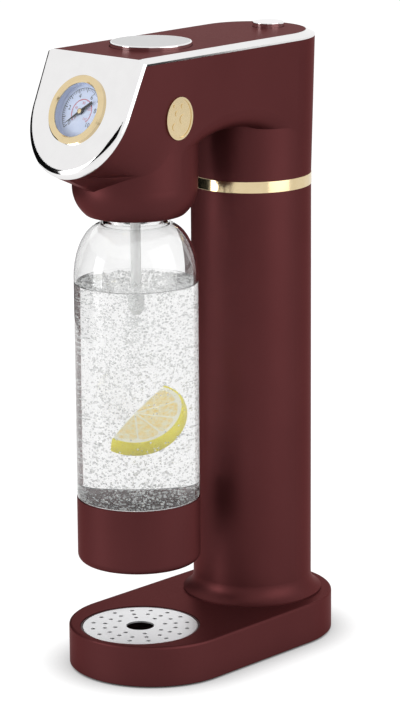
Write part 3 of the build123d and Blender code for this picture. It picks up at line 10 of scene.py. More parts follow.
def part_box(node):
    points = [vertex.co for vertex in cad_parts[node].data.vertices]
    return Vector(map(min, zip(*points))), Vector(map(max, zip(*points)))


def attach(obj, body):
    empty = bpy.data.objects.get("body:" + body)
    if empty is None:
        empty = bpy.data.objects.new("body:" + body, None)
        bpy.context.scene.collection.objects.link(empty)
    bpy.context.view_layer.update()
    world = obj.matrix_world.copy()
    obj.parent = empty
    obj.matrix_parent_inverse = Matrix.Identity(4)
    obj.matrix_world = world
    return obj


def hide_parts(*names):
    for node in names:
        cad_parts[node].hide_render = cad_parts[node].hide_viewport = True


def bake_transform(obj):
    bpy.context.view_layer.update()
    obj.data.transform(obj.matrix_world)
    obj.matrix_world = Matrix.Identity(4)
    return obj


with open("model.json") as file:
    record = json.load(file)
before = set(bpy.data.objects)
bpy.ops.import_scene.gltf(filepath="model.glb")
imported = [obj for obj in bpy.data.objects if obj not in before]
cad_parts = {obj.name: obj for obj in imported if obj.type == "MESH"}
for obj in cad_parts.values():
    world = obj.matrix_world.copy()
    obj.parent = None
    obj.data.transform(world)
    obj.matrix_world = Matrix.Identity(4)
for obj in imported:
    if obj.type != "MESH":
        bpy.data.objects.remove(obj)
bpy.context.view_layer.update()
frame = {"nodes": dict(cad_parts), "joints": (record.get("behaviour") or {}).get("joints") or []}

# ---------------------------------------------------------------- Base shell
# The long foot of the machine is deep-drawn sheet steel with a round front and back. It is sprayed
# with a satin maroon lacquer over a fine metallic base coat, which blurs every light into a soft
# band and keeps a faint orange-peel ripple.


def linear(code):
    """The linear colour of an sRGB hex value."""
    channels = [int(code[start:start + 2], 16) / 255 for start in (1, 3, 5)]
    light = [c / 12.92 if c <= 0.04045 else ((c + 0.055) / 1.055) ** 2.4 for c in channels]
    return (*light, 1.0)


def add(tree, kind, sockets=None, **settings):
    """One shader node with its settings, and its sockets set to a value or linked to an output."""
    node = tree.nodes.new("ShaderNode" + kind)
    for name, value in settings.items():
        setattr(node, name, value)
    for socket, value in (sockets or {}).items():
        if isinstance(value, bpy.types.NodeSocket):
            tree.links.new(value, node.inputs[socket])
        else:
            node.inputs[socket].default_value = value
    return node


def new_finish(name):
    """An empty material, its node tree, and the surface's own place in metres."""
    finish = bpy.data.materials.new(name)
    finish.use_nodes = True
    finish.node_tree.nodes.clear()
    place = add(finish.node_tree, "TexCoord").outputs["Object"]
    return finish, finish.node_tree, place


def dress(finish, *names):
    """Gives CAD pieces that keep their own shape a finish."""
    for name in names:
        for slot in frame["nodes"][name].material_slots:
            slot.material = finish


satin_lacquer, tree, place = new_finish("satin maroon lacquer")
ripple_mm = 1.6  # orange peel of a sprayed film
ripple = add(tree, "TexNoise", {"Vector": place, "Scale": 1000 / ripple_mm, "Detail": 1.5})
flake_mm = 0.35  # metallic flakes, drawn far coarser than the real 0.03 mm so that they show
flake = add(tree, "TexVoronoi", {"Vector": place, "Scale": 1000 / flake_mm})
drift_mm = 60.0  # slow drift of the film's thickness
drift = add(tree, "TexNoise", {"Vector": place, "Scale": 1000 / drift_mm, "Detail": 2.0})
coat = add(
    tree,
    "Mix",
    {"Factor": drift.outputs[0], 6: linear("#52292A"), 7: linear("#5C3031")},
    data_type="RGBA",
)
sparkle = add(
    tree,
    "MapRange",
    {"Value": flake.outputs[0], "From Min": 0.1, "From Max": 0.6, "To Min": 1.06, "To Max": 0.97},
)
coat = add(tree, "HueSaturation", {"Color": coat.outputs[2], "Value": sparkle.outputs[0]})
gloss = add(tree, "MapRange", {"Value": ripple.outputs[0], "To Min": 0.40, "To Max": 0.50})
peel = add(tree, "Bump", {"Height": ripple.outputs[0], "Strength": 0.15, "Distance": 0.00006})
shader = add(
    tree,
    "BsdfPrincipled",
    {
        "Base Color": coat.outputs[0],
        "Metallic": 0.68,
        "Roughness": gloss.outputs[0],
        "Specular IOR Level": 0.15,
        "Specular Tint": linear("#D29896"),
        "Normal": peel.outputs[0],
    },
)
add(tree, "OutputMaterial", {"Surface": shader.outputs[0]})
dress(satin_lacquer, "base_shell")

# ---------------------------------------------------------------- Base plate, feet and screws
# A flat plate closes the base from below. It is moulded in black ABS with a fine spark-eroded grain.
# So are the round hatch through which the gas cylinder goes in, the cylinder's guides, the bottle's
# socket and the gauge's case.
black_abs, tree, place = new_finish("grained black ABS")
grain_mm = 0.5  # spark-eroded grain, drawn a little coarse
grain = add(tree, "TexNoise", {"Vector": place, "Scale": 1000 / grain_mm, "Detail": 3.0})
tone = add(
    tree,
    "Mix",
    {"Factor": grain.outputs[0], 6: linear("#141415"), 7: linear("#222224")},
    data_type="RGBA",
)
gloss = add(tree, "MapRange", {"Value": grain.outputs[0], "To Min": 0.42, "To Max": 0.62})
relief = add(tree, "Bump", {"Height": grain.outputs[0], "Strength": 0.4, "Distance": 0.00005})
shader = add(
    tree,
    "BsdfPrincipled",
    {
        "Base Color": tone.outputs[2],
        "Roughness": gloss.outputs[0],
        "IOR": 1.54,
        "Normal": relief.outputs[0],
    },
)
add(tree, "OutputMaterial", {"Surface": shader.outputs[0]})
dress(black_abs, "base_plate", "cylinder_hatch", "lower_guide", "upper_guide")
dress(black_abs, "bottle_socket", "gauge_case")

# Seven round feet of black nitrile rubber are pressed into the plate's recesses. The bottle's gasket
# and the cylinder's seal are the same rubber, which is matt and a little grey where it holds dust.
nitrile, tree, place = new_finish("matt nitrile rubber")
dust_mm = 3.0  # patches of dust
dust = add(tree, "TexNoise", {"Vector": place, "Scale": 1000 / dust_mm, "Detail": 5.0})
tone = add(
    tree,
    "Mix",
    {"Factor": dust.outputs[0], 6: linear("#111111"), 7: linear("#2B2A29")},
    data_type="RGBA",
)
relief = add(tree, "Bump", {"Height": dust.outputs[0], "Strength": 0.3, "Distance": 0.0001})
shader = add(
    tree,
    "BsdfPrincipled",
    {"Base Color": tone.outputs[2], "Roughness": 0.85, "IOR": 1.52, "Normal": relief.outputs[0]},
)
add(tree, "OutputMaterial", {"Surface": shader.outputs[0]})
dress(nitrile, "rubber_feet", "bottle_gasket", "cylinder_seal")


def plated(name, dark, light, cloud_mm, detail, rough):
    """A plated metal, whose tint and polish drift a little in soft clouds."""
    finish, tree, place = new_finish(name)
    cloud = add(tree, "TexNoise", {"Vector": place, "Scale": 1000 / cloud_mm, "Detail": detail})
    tone = add(
        tree,
        "Mix",
        {"Factor": cloud.outputs[0], 6: linear(dark), 7: linear(light)},
        data_type="RGBA",
    )
    gloss = add(tree, "MapRange", {"Value": cloud.outputs[0], "To Min": rough[0], "To Max": rough[1]})
    shader = add(
        tree,
        "BsdfPrincipled",
        {"Base Color": tone.outputs[2], "Metallic": 1.0, "Roughness": gloss.outputs[0]},
    )
    add(tree, "OutputMaterial", {"Surface": shader.outputs[0]})
    return finish


# Screws, tie rods, springs, pins, levers and pipes are steel with a bright zinc coating, which has a
# faint blue and straw bloom.
zinc = plated(
    "bright zinc plated steel", "#B9BEC4", "#CEC9BC", cloud_mm=4.0, detail=3.0, rough=(0.22, 0.38)
)
dress(
    zinc,
    "base_screws",
    "chassis_screws",
    "tie_rods",
    "tie_nuts",
    "valve_pin",
    "push_pin",
    "lever_bracket",
    "lever_pin",
    "carbonation_lever",
    "stem_clip",
    "gas_pipe",
    "vent_pipe",
    "gauge_pipe",
)

# The return springs under the two buttons are wound from the same plated wire. Each is a fixed copy
# of its CAD spring in that finish, standing where the CAD one stood.
for node, body, name in (
    ("button_spring", "button", "button_return_spring"),
    ("release_spring", "release", "release_return_spring"),
):
    coil = frame["nodes"][node].data.copy()
    coil.name = name
    coil.materials.clear()
    coil.materials.append(zinc)
    spring = bpy.data.objects.new(name, coil)
    bpy.context.scene.collection.objects.link(spring)
    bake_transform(spring)
    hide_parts(node)

# ---------------------------------------------------------------- Drip tray
# Under the bottle a shallow cup catches drips. It is moulded in maroon ABS to match the base and
# hangs by its rim. Its inside is matt and dark.
maroon_abs, tree, place = new_finish("moulded maroon ABS")
grain = add(tree, "TexNoise", {"Vector": place, "Scale": 1000 / grain_mm, "Detail": 3.0})
tone = add(
    tree,
    "Mix",
    {"Factor": grain.outputs[0], 6: linear("#3C1D20"), 7: linear("#4A2629")},
    data_type="RGBA",
)
relief = add(tree, "Bump", {"Height": grain.outputs[0], "Strength": 0.3, "Distance": 0.00005})
shader = add(
    tree,
    "BsdfPrincipled",
    {"Base Color": tone.outputs[2], "Roughness": 0.5, "IOR": 1.54, "Normal": relief.outputs[0]},
)
add(tree, "OutputMaterial", {"Surface": shader.outputs[0]})
dress(maroon_abs, "drip_cup")

# The drip plate is punched from stainless sheet and finished with a fine round brushing, so it is
# pale and silky, with faint rings about its middle.
plate_low, plate_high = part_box("drip_plate")
tray_y = (plate_low.y + plate_high.y) / 2
brushed_plate, tree, place = new_finish("ring brushed stainless steel")
brush_mm = 0.4  # spacing of the brush marks, drawn three times too coarse
offset = add(tree, "VectorMath", {0: place, 1: (0.0, tray_y, 0.0)}, operation="SUBTRACT")
flat = add(tree, "VectorMath", {0: offset.outputs[0], 1: (1.0, 1.0, 0.0)}, operation="MULTIPLY")
reach = add(tree, "VectorMath", {0: flat.outputs[0]}, operation="LENGTH")
marks = add(
    tree, "TexNoise", {"W": reach.outputs["Value"], "Scale": 1000 / brush_mm}, noise_dimensions="1D"
)
tone = add(
    tree,
    "Mix",
    {"Factor": marks.outputs[0], 6: linear("#ECECEE"), 7: linear("#FBFBFC")},
    data_type="RGBA",
)
gloss = add(tree, "MapRange", {"Value": marks.outputs[0], "To Min": 0.34, "To Max": 0.48})
shader = add(
    tree,
    "BsdfPrincipled",
    {"Base Color": tone.outputs[2], "Metallic": 1.0, "Roughness": gloss.outputs[0]},
)
add(tree, "OutputMaterial", {"Surface": shader.outputs[0]})
dress(brushed_plate, "drip_plate")

# ---------------------------------------------------------------- Gas cylinder and castings
# The gas cylinder is extruded aluminium, blasted and clear lacquered; the chassis, the cylinder's
# socket and the nozzle block are sand-blasted aluminium castings. All are pale grey and grainy.
blasted_aluminium, tree, place = new_finish("blasted aluminium")
blast_mm = 0.6  # pits of the blasting, drawn a little coarse
blast = add(tree, "TexNoise", {"Vector": place, "Scale": 1000 / blast_mm, "Detail": 4.0})
tone = add(
    tree,
    "Mix",
    {"Factor": blast.outputs[0], 6: linear("#A9ABAD"), 7: linear("#C8C9CA")},
    data_type="RGBA",
)
relief = add(tree, "Bump", {"Height": blast.outputs[0], "Strength": 0.4, "Distance": 0.00008})
shader = add(
    tree,
    "BsdfPrincipled",
    {"Base Color": tone.outputs[2], "Metallic": 1.0, "Roughness": 0.46, "Normal": relief.outputs[0]},
)
add(tree, "OutputMaterial", {"Surface": shader.outputs[0]})
dress(blasted_aluminium, "co2_cylinder", "cylinder_socket", "head_chassis", "nozzle_block")

# Valves and the gauge's works are turned brass, with fine tool marks round each axis.
turned_brass, tree, place = new_finish("turned brass")
tool_mm = 0.3  # feed of the turning tool
waves_per_unit = 20  # bands that the wave pattern draws at a scale of one
tool = add(
    tree,
    "TexWave",
    {"Vector": place, "Scale": 1000 / tool_mm / waves_per_unit, "Distortion": 0.4},
    bands_direction="Z",
)
tone = add(
    tree,
    "Mix",
    {"Factor": tool.outputs[1], 6: linear("#B8923F"), 7: linear("#D1AE62")},
    data_type="RGBA",
)
gloss = add(tree, "MapRange", {"Value": tool.outputs[1], "To Min": 0.2, "To Max": 0.34})
shader = add(
    tree,
    "BsdfPrincipled",
    {"Base Color": tone.outputs[2], "Metallic": 1.0, "Roughness": gloss.outputs[0]},
)
add(tree, "OutputMaterial", {"Surface": shader.outputs[0]})
dress(turned_brass, "cylinder_valve", "release_valve", "safety_valve")
dress(turned_brass, "gauge_movement", "bourdon_tube")

# ---------------------------------------------------------------- Column, head and lid
# The column is a round drawn tube. The head reaches forward from it over the bottle and is closed
# by a flat lid. All are sheet steel in the same satin lacquer as the base, like the sleeve that holds
# the bottle's foot.
dress(satin_lacquer, "column_shell", "head_shell", "head_lid", "bottle_sleeve")

# ---------------------------------------------------------------- Gold ring and badge
# A band of polished, gold plated steel covers the seam between column and head. The gauge's bezel and
# the oval badge on the head are brass with the same plating. Gold mirrors the room with a warm tint,
# a little clouded by wiping.
gold = plated(
    "polished gold plate", "#DCC69A", "#E6D3AC", cloud_mm=5.0, detail=3.0, rough=(0.10, 0.18)
)
dress(gold, "gold_ring", "gauge_bezel", "side_badge")

# ---------------------------------------------------------------- Chrome trim, face plate and buttons
# The strip round the top of the head, the slanted face plate and the two buttons are polished and
# chrome plated, so they mirror the room almost cleanly, apart from faint wipe marks.
chrome = plated(
    "polished chrome plate", "#E9E8E8", "#F1F0F0", cloud_mm=12.0, detail=4.0, rough=(0.04, 0.09)
)
dress(chrome, "chrome_trim", "face_plate", "carbonation_button", "release_button")

# The disc let into the big button is aluminium with a straight satin brushing.
inlay_satin, tree, place = new_finish("satin brushed aluminium")
hair_mm = 0.5  # width of a brush line, drawn about four times too coarse
hair_length_mm = 30.0
hair_scale = (1000 / hair_length_mm, 1000 / hair_mm, 1000 / hair_mm)
stretch = add(tree, "Mapping", {"Vector": place, "Scale": hair_scale})
hair = add(tree, "TexNoise", {"Vector": stretch.outputs[0], "Scale": 1.0, "Detail": 3.0})
tone = add(
    tree,
    "Mix",
    {"Factor": hair.outputs[0], 6: linear("#BEBEBE"), 7: linear("#D4D4D4")},
    data_type="RGBA",
)
gloss = add(tree, "MapRange", {"Value": hair.outputs[0], "To Min": 0.26, "To Max": 0.40})
shader = add(
    tree,
    "BsdfPrincipled",
    {"Base Color": tone.outputs[2], "Metallic": 1.0, "Roughness": gloss.outputs[0]},
)
add(tree, "OutputMaterial", {"Surface": shader.outputs[0]})
dress(inlay_satin, "button_inlay")

# ---------------------------------------------------------------- Pressure gauge
# The dial is a pressed aluminium disc, printed pale blue white with a black outer scale, a red inner
# scale and plain numbers. A black steel needle turns over it, behind flat glass.
needle_joint = next(joint for joint in frame["joints"] if joint["name"] == "needle_turn")
gauge_middle = Vector(needle_joint["pos_m"])
gauge_out = -Vector(needle_joint["axis"]).normalized()
gauge_right = Vector((1.0, 0.0, 0.0))
gauge_up = gauge_out.cross(gauge_right)
dial_drop = 0.005  # gauge's middle to the face of the dial
print_lift = 0.00004
gauge_turn = Matrix((gauge_right, gauge_up, gauge_out)).transposed().to_4x4()
dial_frame = Matrix.Translation(gauge_middle - gauge_out * (dial_drop - print_lift)) @ gauge_turn


def new_piece(name, verts, faces, finish, smooth_degrees=40.0):
    """A mesh piece in the machine's frame, smooth except at edges sharper than an angle."""
    mesh = bpy.data.meshes.new(name)
    mesh.from_pydata([tuple(v) for v in verts], [], faces)
    mesh.materials.append(finish)
    mesh.validate()
    mesh.shade_smooth()
    mesh.set_sharp_from_angle(angle=math.radians(smooth_degrees))
    piece = bpy.data.objects.new(name, mesh)
    bpy.context.scene.collection.objects.link(piece)
    return piece


def bar(verts, faces, start, end, width, frame_matrix):
    """Adds a flat printed line between two points of a plane."""
    along = (Vector(end) - Vector(start)).normalized()
    side = Vector((-along.y, along.x)) * width / 2
    first = len(verts)
    for x, y in (Vector(start) - side, Vector(end) - side, Vector(end) + side, Vector(start) + side):
        verts.append(frame_matrix @ Vector((x, y, 0.0)))
    faces.append([first, first + 1, first + 2, first + 3])


def arc(verts, faces, inner, outer, from_turn, to_turn, frame_matrix, steps=72):
    """Adds a flat printed arc between two radii."""
    first = len(verts)
    for step in range(steps + 1):
        turn = math.radians(from_turn + (to_turn - from_turn) * step / steps)
        ray = Vector((math.cos(turn), math.sin(turn), 0.0))
        verts += [frame_matrix @ (ray * inner), frame_matrix @ (ray * outer)]
    for step in range(steps):
        k = first + 2 * step
        faces.append([k, k + 1, k + 3, k + 2])


digit_share = 0.7  # height of a digit as a share of its type size


def number(verts, faces, text, height, x, y, frame_matrix):
    """Adds a plain printed number."""
    curve = bpy.data.curves.new("number", "FONT")
    curve.body = text
    curve.size = height / digit_share
    curve.align_x = "CENTER"
    curve.align_y = "CENTER"
    curve.resolution_u = 3
    holder = bpy.data.objects.new("number", curve)
    glyphs = bpy.data.meshes.new_from_object(holder)
    first = len(verts)
    verts.extend(frame_matrix @ Vector((v.co.x + x, v.co.y + y, 0.0)) for v in glyphs.vertices)
    faces.extend([first + k for k in face.vertices] for face in glyphs.polygons)
    bpy.data.objects.remove(holder)
    bpy.data.curves.remove(curve)
    bpy.data.meshes.remove(glyphs)


scale_start = 225.0  # degrees, lower left
scale_end = scale_start - 270.0
outer_scale_r = 0.0172
long_tick = 0.0030
short_tick = 0.0018
long_tick_width = 0.00052
short_tick_width = 0.00032
scale_marks = 50
marks_per_number = 10
number_step = 2  # from one number to the next
number_height = 0.0032
number_r = 0.0122
black_verts, black_faces = [], []
for mark in range(scale_marks + 1):
    turn = math.radians(scale_start + (scale_end - scale_start) * mark / scale_marks)
    ray = Vector((math.cos(turn), math.sin(turn)))
    is_long = mark % (marks_per_number // 2) == 0
    length = long_tick if is_long else short_tick
    width = long_tick_width if is_long else short_tick_width
    tick_foot = ray * (outer_scale_r - length)
    bar(black_verts, black_faces, tick_foot, ray * outer_scale_r, width, dial_frame)
    if mark % marks_per_number == 0:
        text = str(number_step * mark // marks_per_number)
        number(black_verts, black_faces, text, number_height, *(ray * number_r), dial_frame)
rim_line = (outer_scale_r - 0.0001, outer_scale_r + 0.0002)
arc(black_verts, black_faces, *rim_line, scale_start, scale_end, dial_frame)

# Print and paint in the gauge are thin, half matt films with a faint mottle. The red is laid thinner
# than the black, so the pale dial shows through and makes it pink.
films = {}
for name, mottle_mm, dark, light, roughness in (
    ("screen printed black ink", 0.4, "#16181C", "#2A2D33", 0.55),
    ("screen printed red ink", 0.4, "#B0566A", "#C67385", 0.55),
    ("pale blue dial enamel", 8.0, "#BFCBE6", "#D3DBEE", 0.42),
    ("black needle paint", 0.5, "#1A1A1C", "#2C2C2F", 0.45),
):
    films[name], tree, place = new_finish(name)
    mottle = add(tree, "TexNoise", {"Vector": place, "Scale": 1000 / mottle_mm, "Detail": 2.0})
    tone = add(
        tree,
        "Mix",
        {"Factor": mottle.outputs[0], 6: linear(dark), 7: linear(light)},
        data_type="RGBA",
    )
    shader = add(tree, "BsdfPrincipled", {"Base Color": tone.outputs[2], "Roughness": roughness})
    add(tree, "OutputMaterial", {"Surface": shader.outputs[0]})
black_ink = films["screen printed black ink"]
black_scale = new_piece("dial_black_scale", black_verts, black_faces, black_ink)
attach(black_scale, "machine")

inner_scale_r = 0.0094
inner_line = 0.0007  # width of the red arc, and length of its short ticks
inner_long_tick = 0.0013
inner_marks = 28
inner_marks_per_long_tick = 4
inner_marks_per_number = 7
inner_number_step = 40
inner_number_height = 0.0019
inner_number_r = 0.0064
red_verts, red_faces = [], []
inner_arc = (inner_scale_r - inner_line, inner_scale_r)
arc(red_verts, red_faces, *inner_arc, scale_start, scale_end, dial_frame)
for mark in range(inner_marks + 1):
    turn = math.radians(scale_start + (scale_end - scale_start) * mark / inner_marks)
    ray = Vector((math.cos(turn), math.sin(turn)))
    length = inner_long_tick if mark % inner_marks_per_long_tick == 0 else inner_line
    tick_foot = ray * (inner_scale_r - length)
    bar(red_verts, red_faces, tick_foot, ray * inner_scale_r, short_tick_width, dial_frame)
    if mark % inner_marks_per_number == 0:
        text = str(inner_number_step * mark // inner_marks_per_number)
        number(red_verts, red_faces, text, inner_number_height, *(ray * inner_number_r), dial_frame)
red_ink = films["screen printed red ink"]
red_scale = new_piece("dial_red_scale", red_verts, red_faces, red_ink)
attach(red_scale, "machine")

dress(films["pale blue dial enamel"], "gauge_dial")
dress(films["black needle paint"], "gauge_needle")

# A small domed brass cap, gold plated, is pressed on the needle's hub.
cap_r = 0.0017
cap_foot = 0.00002
cap_rise = 0.00018
cap_sides = 32
cap_rings = (1.0, 0.8, 0.45)  # shares of its radius
needle = frame["nodes"]["gauge_needle"]
hub_top = max(gauge_out.dot(needle.matrix_world @ v.co - gauge_middle) for v in needle.data.vertices)
cap_frame = Matrix.Translation(gauge_middle + gauge_out * (hub_top + cap_foot)) @ gauge_turn
verts, faces = [], []
for share in cap_rings:
    radius, rise = cap_r * share, cap_rise * math.sqrt(1 - share**2)
    for step in range(cap_sides):
        turn = 2 * math.pi * step / cap_sides
        verts.append(cap_frame @ Vector((radius * math.cos(turn), radius * math.sin(turn), rise)))
for ring in range(len(cap_rings) - 1):
    for step in range(cap_sides):
        a, b = ring * cap_sides + step, ring * cap_sides + (step + 1) % cap_sides
        faces.append([a, b, b + cap_sides, a + cap_sides])
faces.append(list(range((len(cap_rings) - 1) * cap_sides, len(cap_rings) * cap_sides)))
faces.append(list(reversed(range(cap_sides))))
cap_piece = new_piece("needle_cap", verts, faces, gold)
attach(cap_piece, "needle")


def clear_to_lamps(tree, shader, tint):
    """Ends a clear finish, and lets lamp light pass so that nothing behind it stands in the dark."""
    rays = add(tree, "LightPath")
    through = add(tree, "BsdfTransparent", {"Color": linear(tint)})
    lamp_ray = rays.outputs["Is Shadow Ray"]
    clear = add(tree, "MixShader", {0: lamp_ray, 1: shader.outputs[0], 2: through.outputs[0]})
    add(tree, "OutputMaterial", {"Surface": clear.outputs[0]})


# Flat glass closes the gauge. It is clear, with faint wipe marks that only its reflections show, and
# lamp light passes through it without a dark shadow on the dial.
gauge_crystal, tree, place = new_finish("flat gauge glass")
smear_mm = 6.0  # wipe marks
smear = add(tree, "TexNoise", {"Vector": place, "Scale": 1000 / smear_mm, "Detail": 2.0})
gloss = add(tree, "MapRange", {"Value": smear.outputs[0], "To Min": 0.0, "To Max": 0.03})
shader = add(
    tree,
    "BsdfPrincipled",
    {
        "Base Color": linear("#FFFFFF"),
        "Roughness": gloss.outputs[0],
        "IOR": 1.22,
        "Transmission Weight": 1.0,
    },
)
clear_to_lamps(tree, shader, "#F4F6F6")
dress(gauge_crystal, "gauge_glass")

# ---------------------------------------------------------------- Carbonation tube
# The tube that blows gas into the water is extruded in natural polypropylene and pushed up into the
# nozzle block. The plastic is milky, with a soft gloss.
milky_pp, tree, place = new_finish("natural polypropylene")
milk_mm = 3.0  # clouds in the plastic
milk = add(tree, "TexNoise", {"Vector": place, "Scale": 1000 / milk_mm, "Detail": 2.0})
tone = add(
    tree,
    "Mix",
    {"Factor": milk.outputs[0], 6: linear("#DCDCDB"), 7: linear("#E8E8E7")},
    data_type="RGBA",
)
shader = add(
    tree,
    "BsdfPrincipled",
    {"Base Color": tone.outputs[2], "Roughness": 0.38, "IOR": 1.49},
)
add(tree, "OutputMaterial", {"Surface": shader.outputs[0]})
dress(milky_pp, "carbonation_tube")

# ---------------------------------------------------------------- Bottle
# The litre bottle is blown clear glass, thicker at its foot and neck, with a screw thread at its
# mouth. Its foot stands in the lacquered steel sleeve.
bottle_low, bottle_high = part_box("bottle")
bottle_axis = Vector(((bottle_low.x + bottle_high.x) / 2, (bottle_low.y + bottle_high.y) / 2, 0.0))
glass_r = 0.0439
glass_bottom = bottle_low.z + 0.0001
lip_z = bottle_high.z
_, sleeve_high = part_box("bottle_sleeve")
glass_step_z = sleeve_high.z + 0.0003
foot_r = 0.0420
foot_round = 0.006
step_round = 0.0012  # rounding of the step on which the sleeve's rim ends
wall = 0.0015
neck_r = 0.0222
neck_z = 0.3275
shoulder_height = 0.0395
thread_core_r = 0.0206
thread_crest_r = 0.0219
collar_z = neck_z + 0.008
bore_r = 0.0189
lip_round = 0.0009


def quarter(centre_r, centre_z, half_r, half_z, from_turn, to_turn, steps):
    """Points of an elliptical arc in the lathe's plane."""
    points = []
    for step in range(steps + 1):
        turn = math.radians(from_turn + (to_turn - from_turn) * step / steps)
        points.append((centre_r + half_r * math.cos(turn), centre_z + half_z * math.sin(turn)))
    return points


def lathe(name, profile, finish, segments=144, smooth_degrees=40.0):
    """A piece spun about the bottle's axis, from a closed profile that starts and ends on it."""
    verts, rings = [], []
    for radius, height in profile:
        if radius < 1e-6:
            rings.append([len(verts)] * segments)
            verts.append((bottle_axis.x, bottle_axis.y, height))
            continue
        rings.append(list(range(len(verts), len(verts) + segments)))
        for step in range(segments):
            turn = 2 * math.pi * step / segments
            x = bottle_axis.x + radius * math.cos(turn)
            y = bottle_axis.y + radius * math.sin(turn)
            verts.append((x, y, height))
    faces = []
    for lower, upper in zip(rings, rings[1:]):
        for step in range(segments):
            after = (step + 1) % segments
            corners = [lower[step], lower[after], upper[after], upper[step]]
            faces.append(list(dict.fromkeys(corners)))
    return new_piece(name, verts, [face for face in faces if len(face) > 2], finish, smooth_degrees)


# The outside, from the hollow under the foot up to the lip.
outer_profile = [(0.0, glass_bottom + 0.003), (0.014, glass_bottom + 0.0025)]
outer_profile += [(0.028, glass_bottom + 0.0004)]
outer_profile += quarter(
    foot_r - foot_round, glass_bottom + foot_round, foot_round, foot_round, -90, 0, 8
)
outer_profile += [(foot_r, glass_step_z - step_round), (foot_r + 0.0004, glass_step_z - 0.0002)]
outer_profile += quarter(
    glass_r - step_round, glass_step_z + step_round, step_round, step_round, -60, 0, 4
)
shoulder_z = neck_z - shoulder_height
outer_profile += [(glass_r, glass_step_z + (shoulder_z - glass_step_z) * k / 4) for k in (1, 2, 3)]
outer_profile += quarter(neck_r, shoulder_z, glass_r - neck_r, shoulder_height, 0, 84, 26)
outer_profile += [(neck_r + 0.0006, neck_z + 0.0006), (neck_r, neck_z + 0.002), (neck_r, collar_z)]
outer_profile += [(thread_core_r, collar_z + 0.0004), (thread_core_r, lip_z - 0.001)]
outer_profile += quarter(
    thread_core_r - lip_round, lip_z - lip_round, lip_round, lip_round, 10, 90, 4
)

# The inside, from the lip down to the floor.
inner_r = glass_r - wall
inner_foot_r = foot_r - wall
inner_profile = [(bore_r + 0.0004, lip_z - 0.0002), (bore_r, lip_z - 0.001), (bore_r, neck_z + 0.003)]
inner_profile += reversed(
    quarter(neck_r - wall, shoulder_z, inner_r - neck_r + wall, shoulder_height - wall, 0, 86, 26)
)
inner_profile += [(inner_r, glass_step_z + (shoulder_z - glass_step_z) * k / 4) for k in (3, 2, 1)]
inner_profile += [(inner_r, glass_step_z + 0.005), (inner_foot_r + 0.0006, glass_step_z + 0.001)]
inner_floor = glass_bottom + 0.0045
inner_round_r = inner_foot_r - foot_round
inner_round_z = inner_floor + foot_round - 0.001
inner_profile += reversed(quarter(inner_round_r, inner_round_z, foot_round, foot_round, -90, 0, 8))
inner_profile += [(0.024, inner_floor - 0.0004), (0.0, inner_floor + 0.001)]

# Blown glass is smooth and clear, with slow waves that bend what is seen through it. Lamp light
# passes through, so what stands inside the bottle isn't in the dark.
bottle_glass, tree, place = new_finish("clear blown glass")
cord_mm = 40.0  # slow waves left by blowing
waves = add(tree, "TexNoise", {"Vector": place, "Scale": 1000 / cord_mm, "Detail": 1.0})
relief = add(tree, "Bump", {"Height": waves.outputs[0], "Strength": 0.15, "Distance": 0.0004})
shader = add(
    tree,
    "BsdfPrincipled",
    {
        "Base Color": linear("#FBFBFB"),
        "Roughness": 0.0,
        "IOR": 1.5,
        "Transmission Weight": 1.0,
        "Normal": relief.outputs[0],
    },
)
clear_to_lamps(tree, shader, "#F2F4F4")
bottle_piece = lathe("bottle_glass", outer_profile + inner_profile, bottle_glass, smooth_degrees=55.0)
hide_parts("bottle")
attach(bottle_piece, "bottle")

# The thread is a rounded ridge that climbs nearly two and a half turns round the mouth and fades
# out at both ends.
thread_turns = 2.4
thread_steps = 150
thread_pitch = 0.0042
thread_half = 0.0009
thread_start_z = 0.3402
thread_sink = 0.0002  # how deep the ridge stands in the neck
thread_rise = thread_crest_r - thread_core_r + thread_sink / 2
thread_fade = 12  # the ridge runs out over one part in this many of its length
verts, faces = [], []
ridge = ((-1.0, 0.0), (-0.5, 0.75), (0.0, 1.0), (0.5, 0.75), (1.0, 0.0))  # up, out
for step in range(thread_steps + 1):
    share = step / thread_steps
    turn = 2 * math.pi * thread_turns * share
    fade = min(1.0, thread_fade * share, thread_fade * (1 - share))
    for up, out in ridge:
        radius = thread_core_r - thread_sink + thread_rise * out * fade
        height = thread_start_z + thread_pitch * thread_turns * share + up * thread_half
        x = bottle_axis.x + radius * math.cos(turn)
        y = bottle_axis.y + radius * math.sin(turn)
        verts.append((x, y, height))
count = len(ridge)
for step in range(thread_steps):
    for k in range(count - 1):
        a = step * count + k
        faces.append([a, a + count, a + count + 1, a + 1])
    a = step * count
    faces.append([a + count - 1, a + 2 * count - 1, a + count, a])
faces.append(list(range(count)))
faces.append(list(reversed(range(thread_steps * count, (thread_steps + 1) * count))))
thread_piece = new_piece("bottle_thread", verts, faces, bottle_glass)
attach(thread_piece, "bottle")

# ---------------------------------------------------------------- Lemon
# Half a thick slice of lemon floats in the water: waxy yellow peel with pores, a white pith, and
# pale juicy segments parted by thin membranes.
lemon_r = 0.0295
lemon_half = 0.0068  # half the slice's thickness
peel = 0.0019
pith = 0.0026
segments = 5
membrane = 0.0011
slice_steps = 48
lemon_middle = Vector((0.0038, -0.0724, 0.1908))
lemon_along = Vector((-0.055, 0.820, 0.565)).normalized()  # along the straight cut
lemon_face = Vector((0.450, -0.4865, 0.752))  # out of the slice's face, squared up below
lemon_face = (lemon_face - lemon_along * lemon_face.dot(lemon_along)).normalized()
lemon_deep = lemon_face.cross(lemon_along)
if lemon_deep.x < 0:
    lemon_deep = -lemon_deep
lemon_turn = Matrix((lemon_along, lemon_deep, lemon_face)).transposed().to_4x4()
lemon_frame = Matrix.Translation(lemon_middle) @ lemon_turn


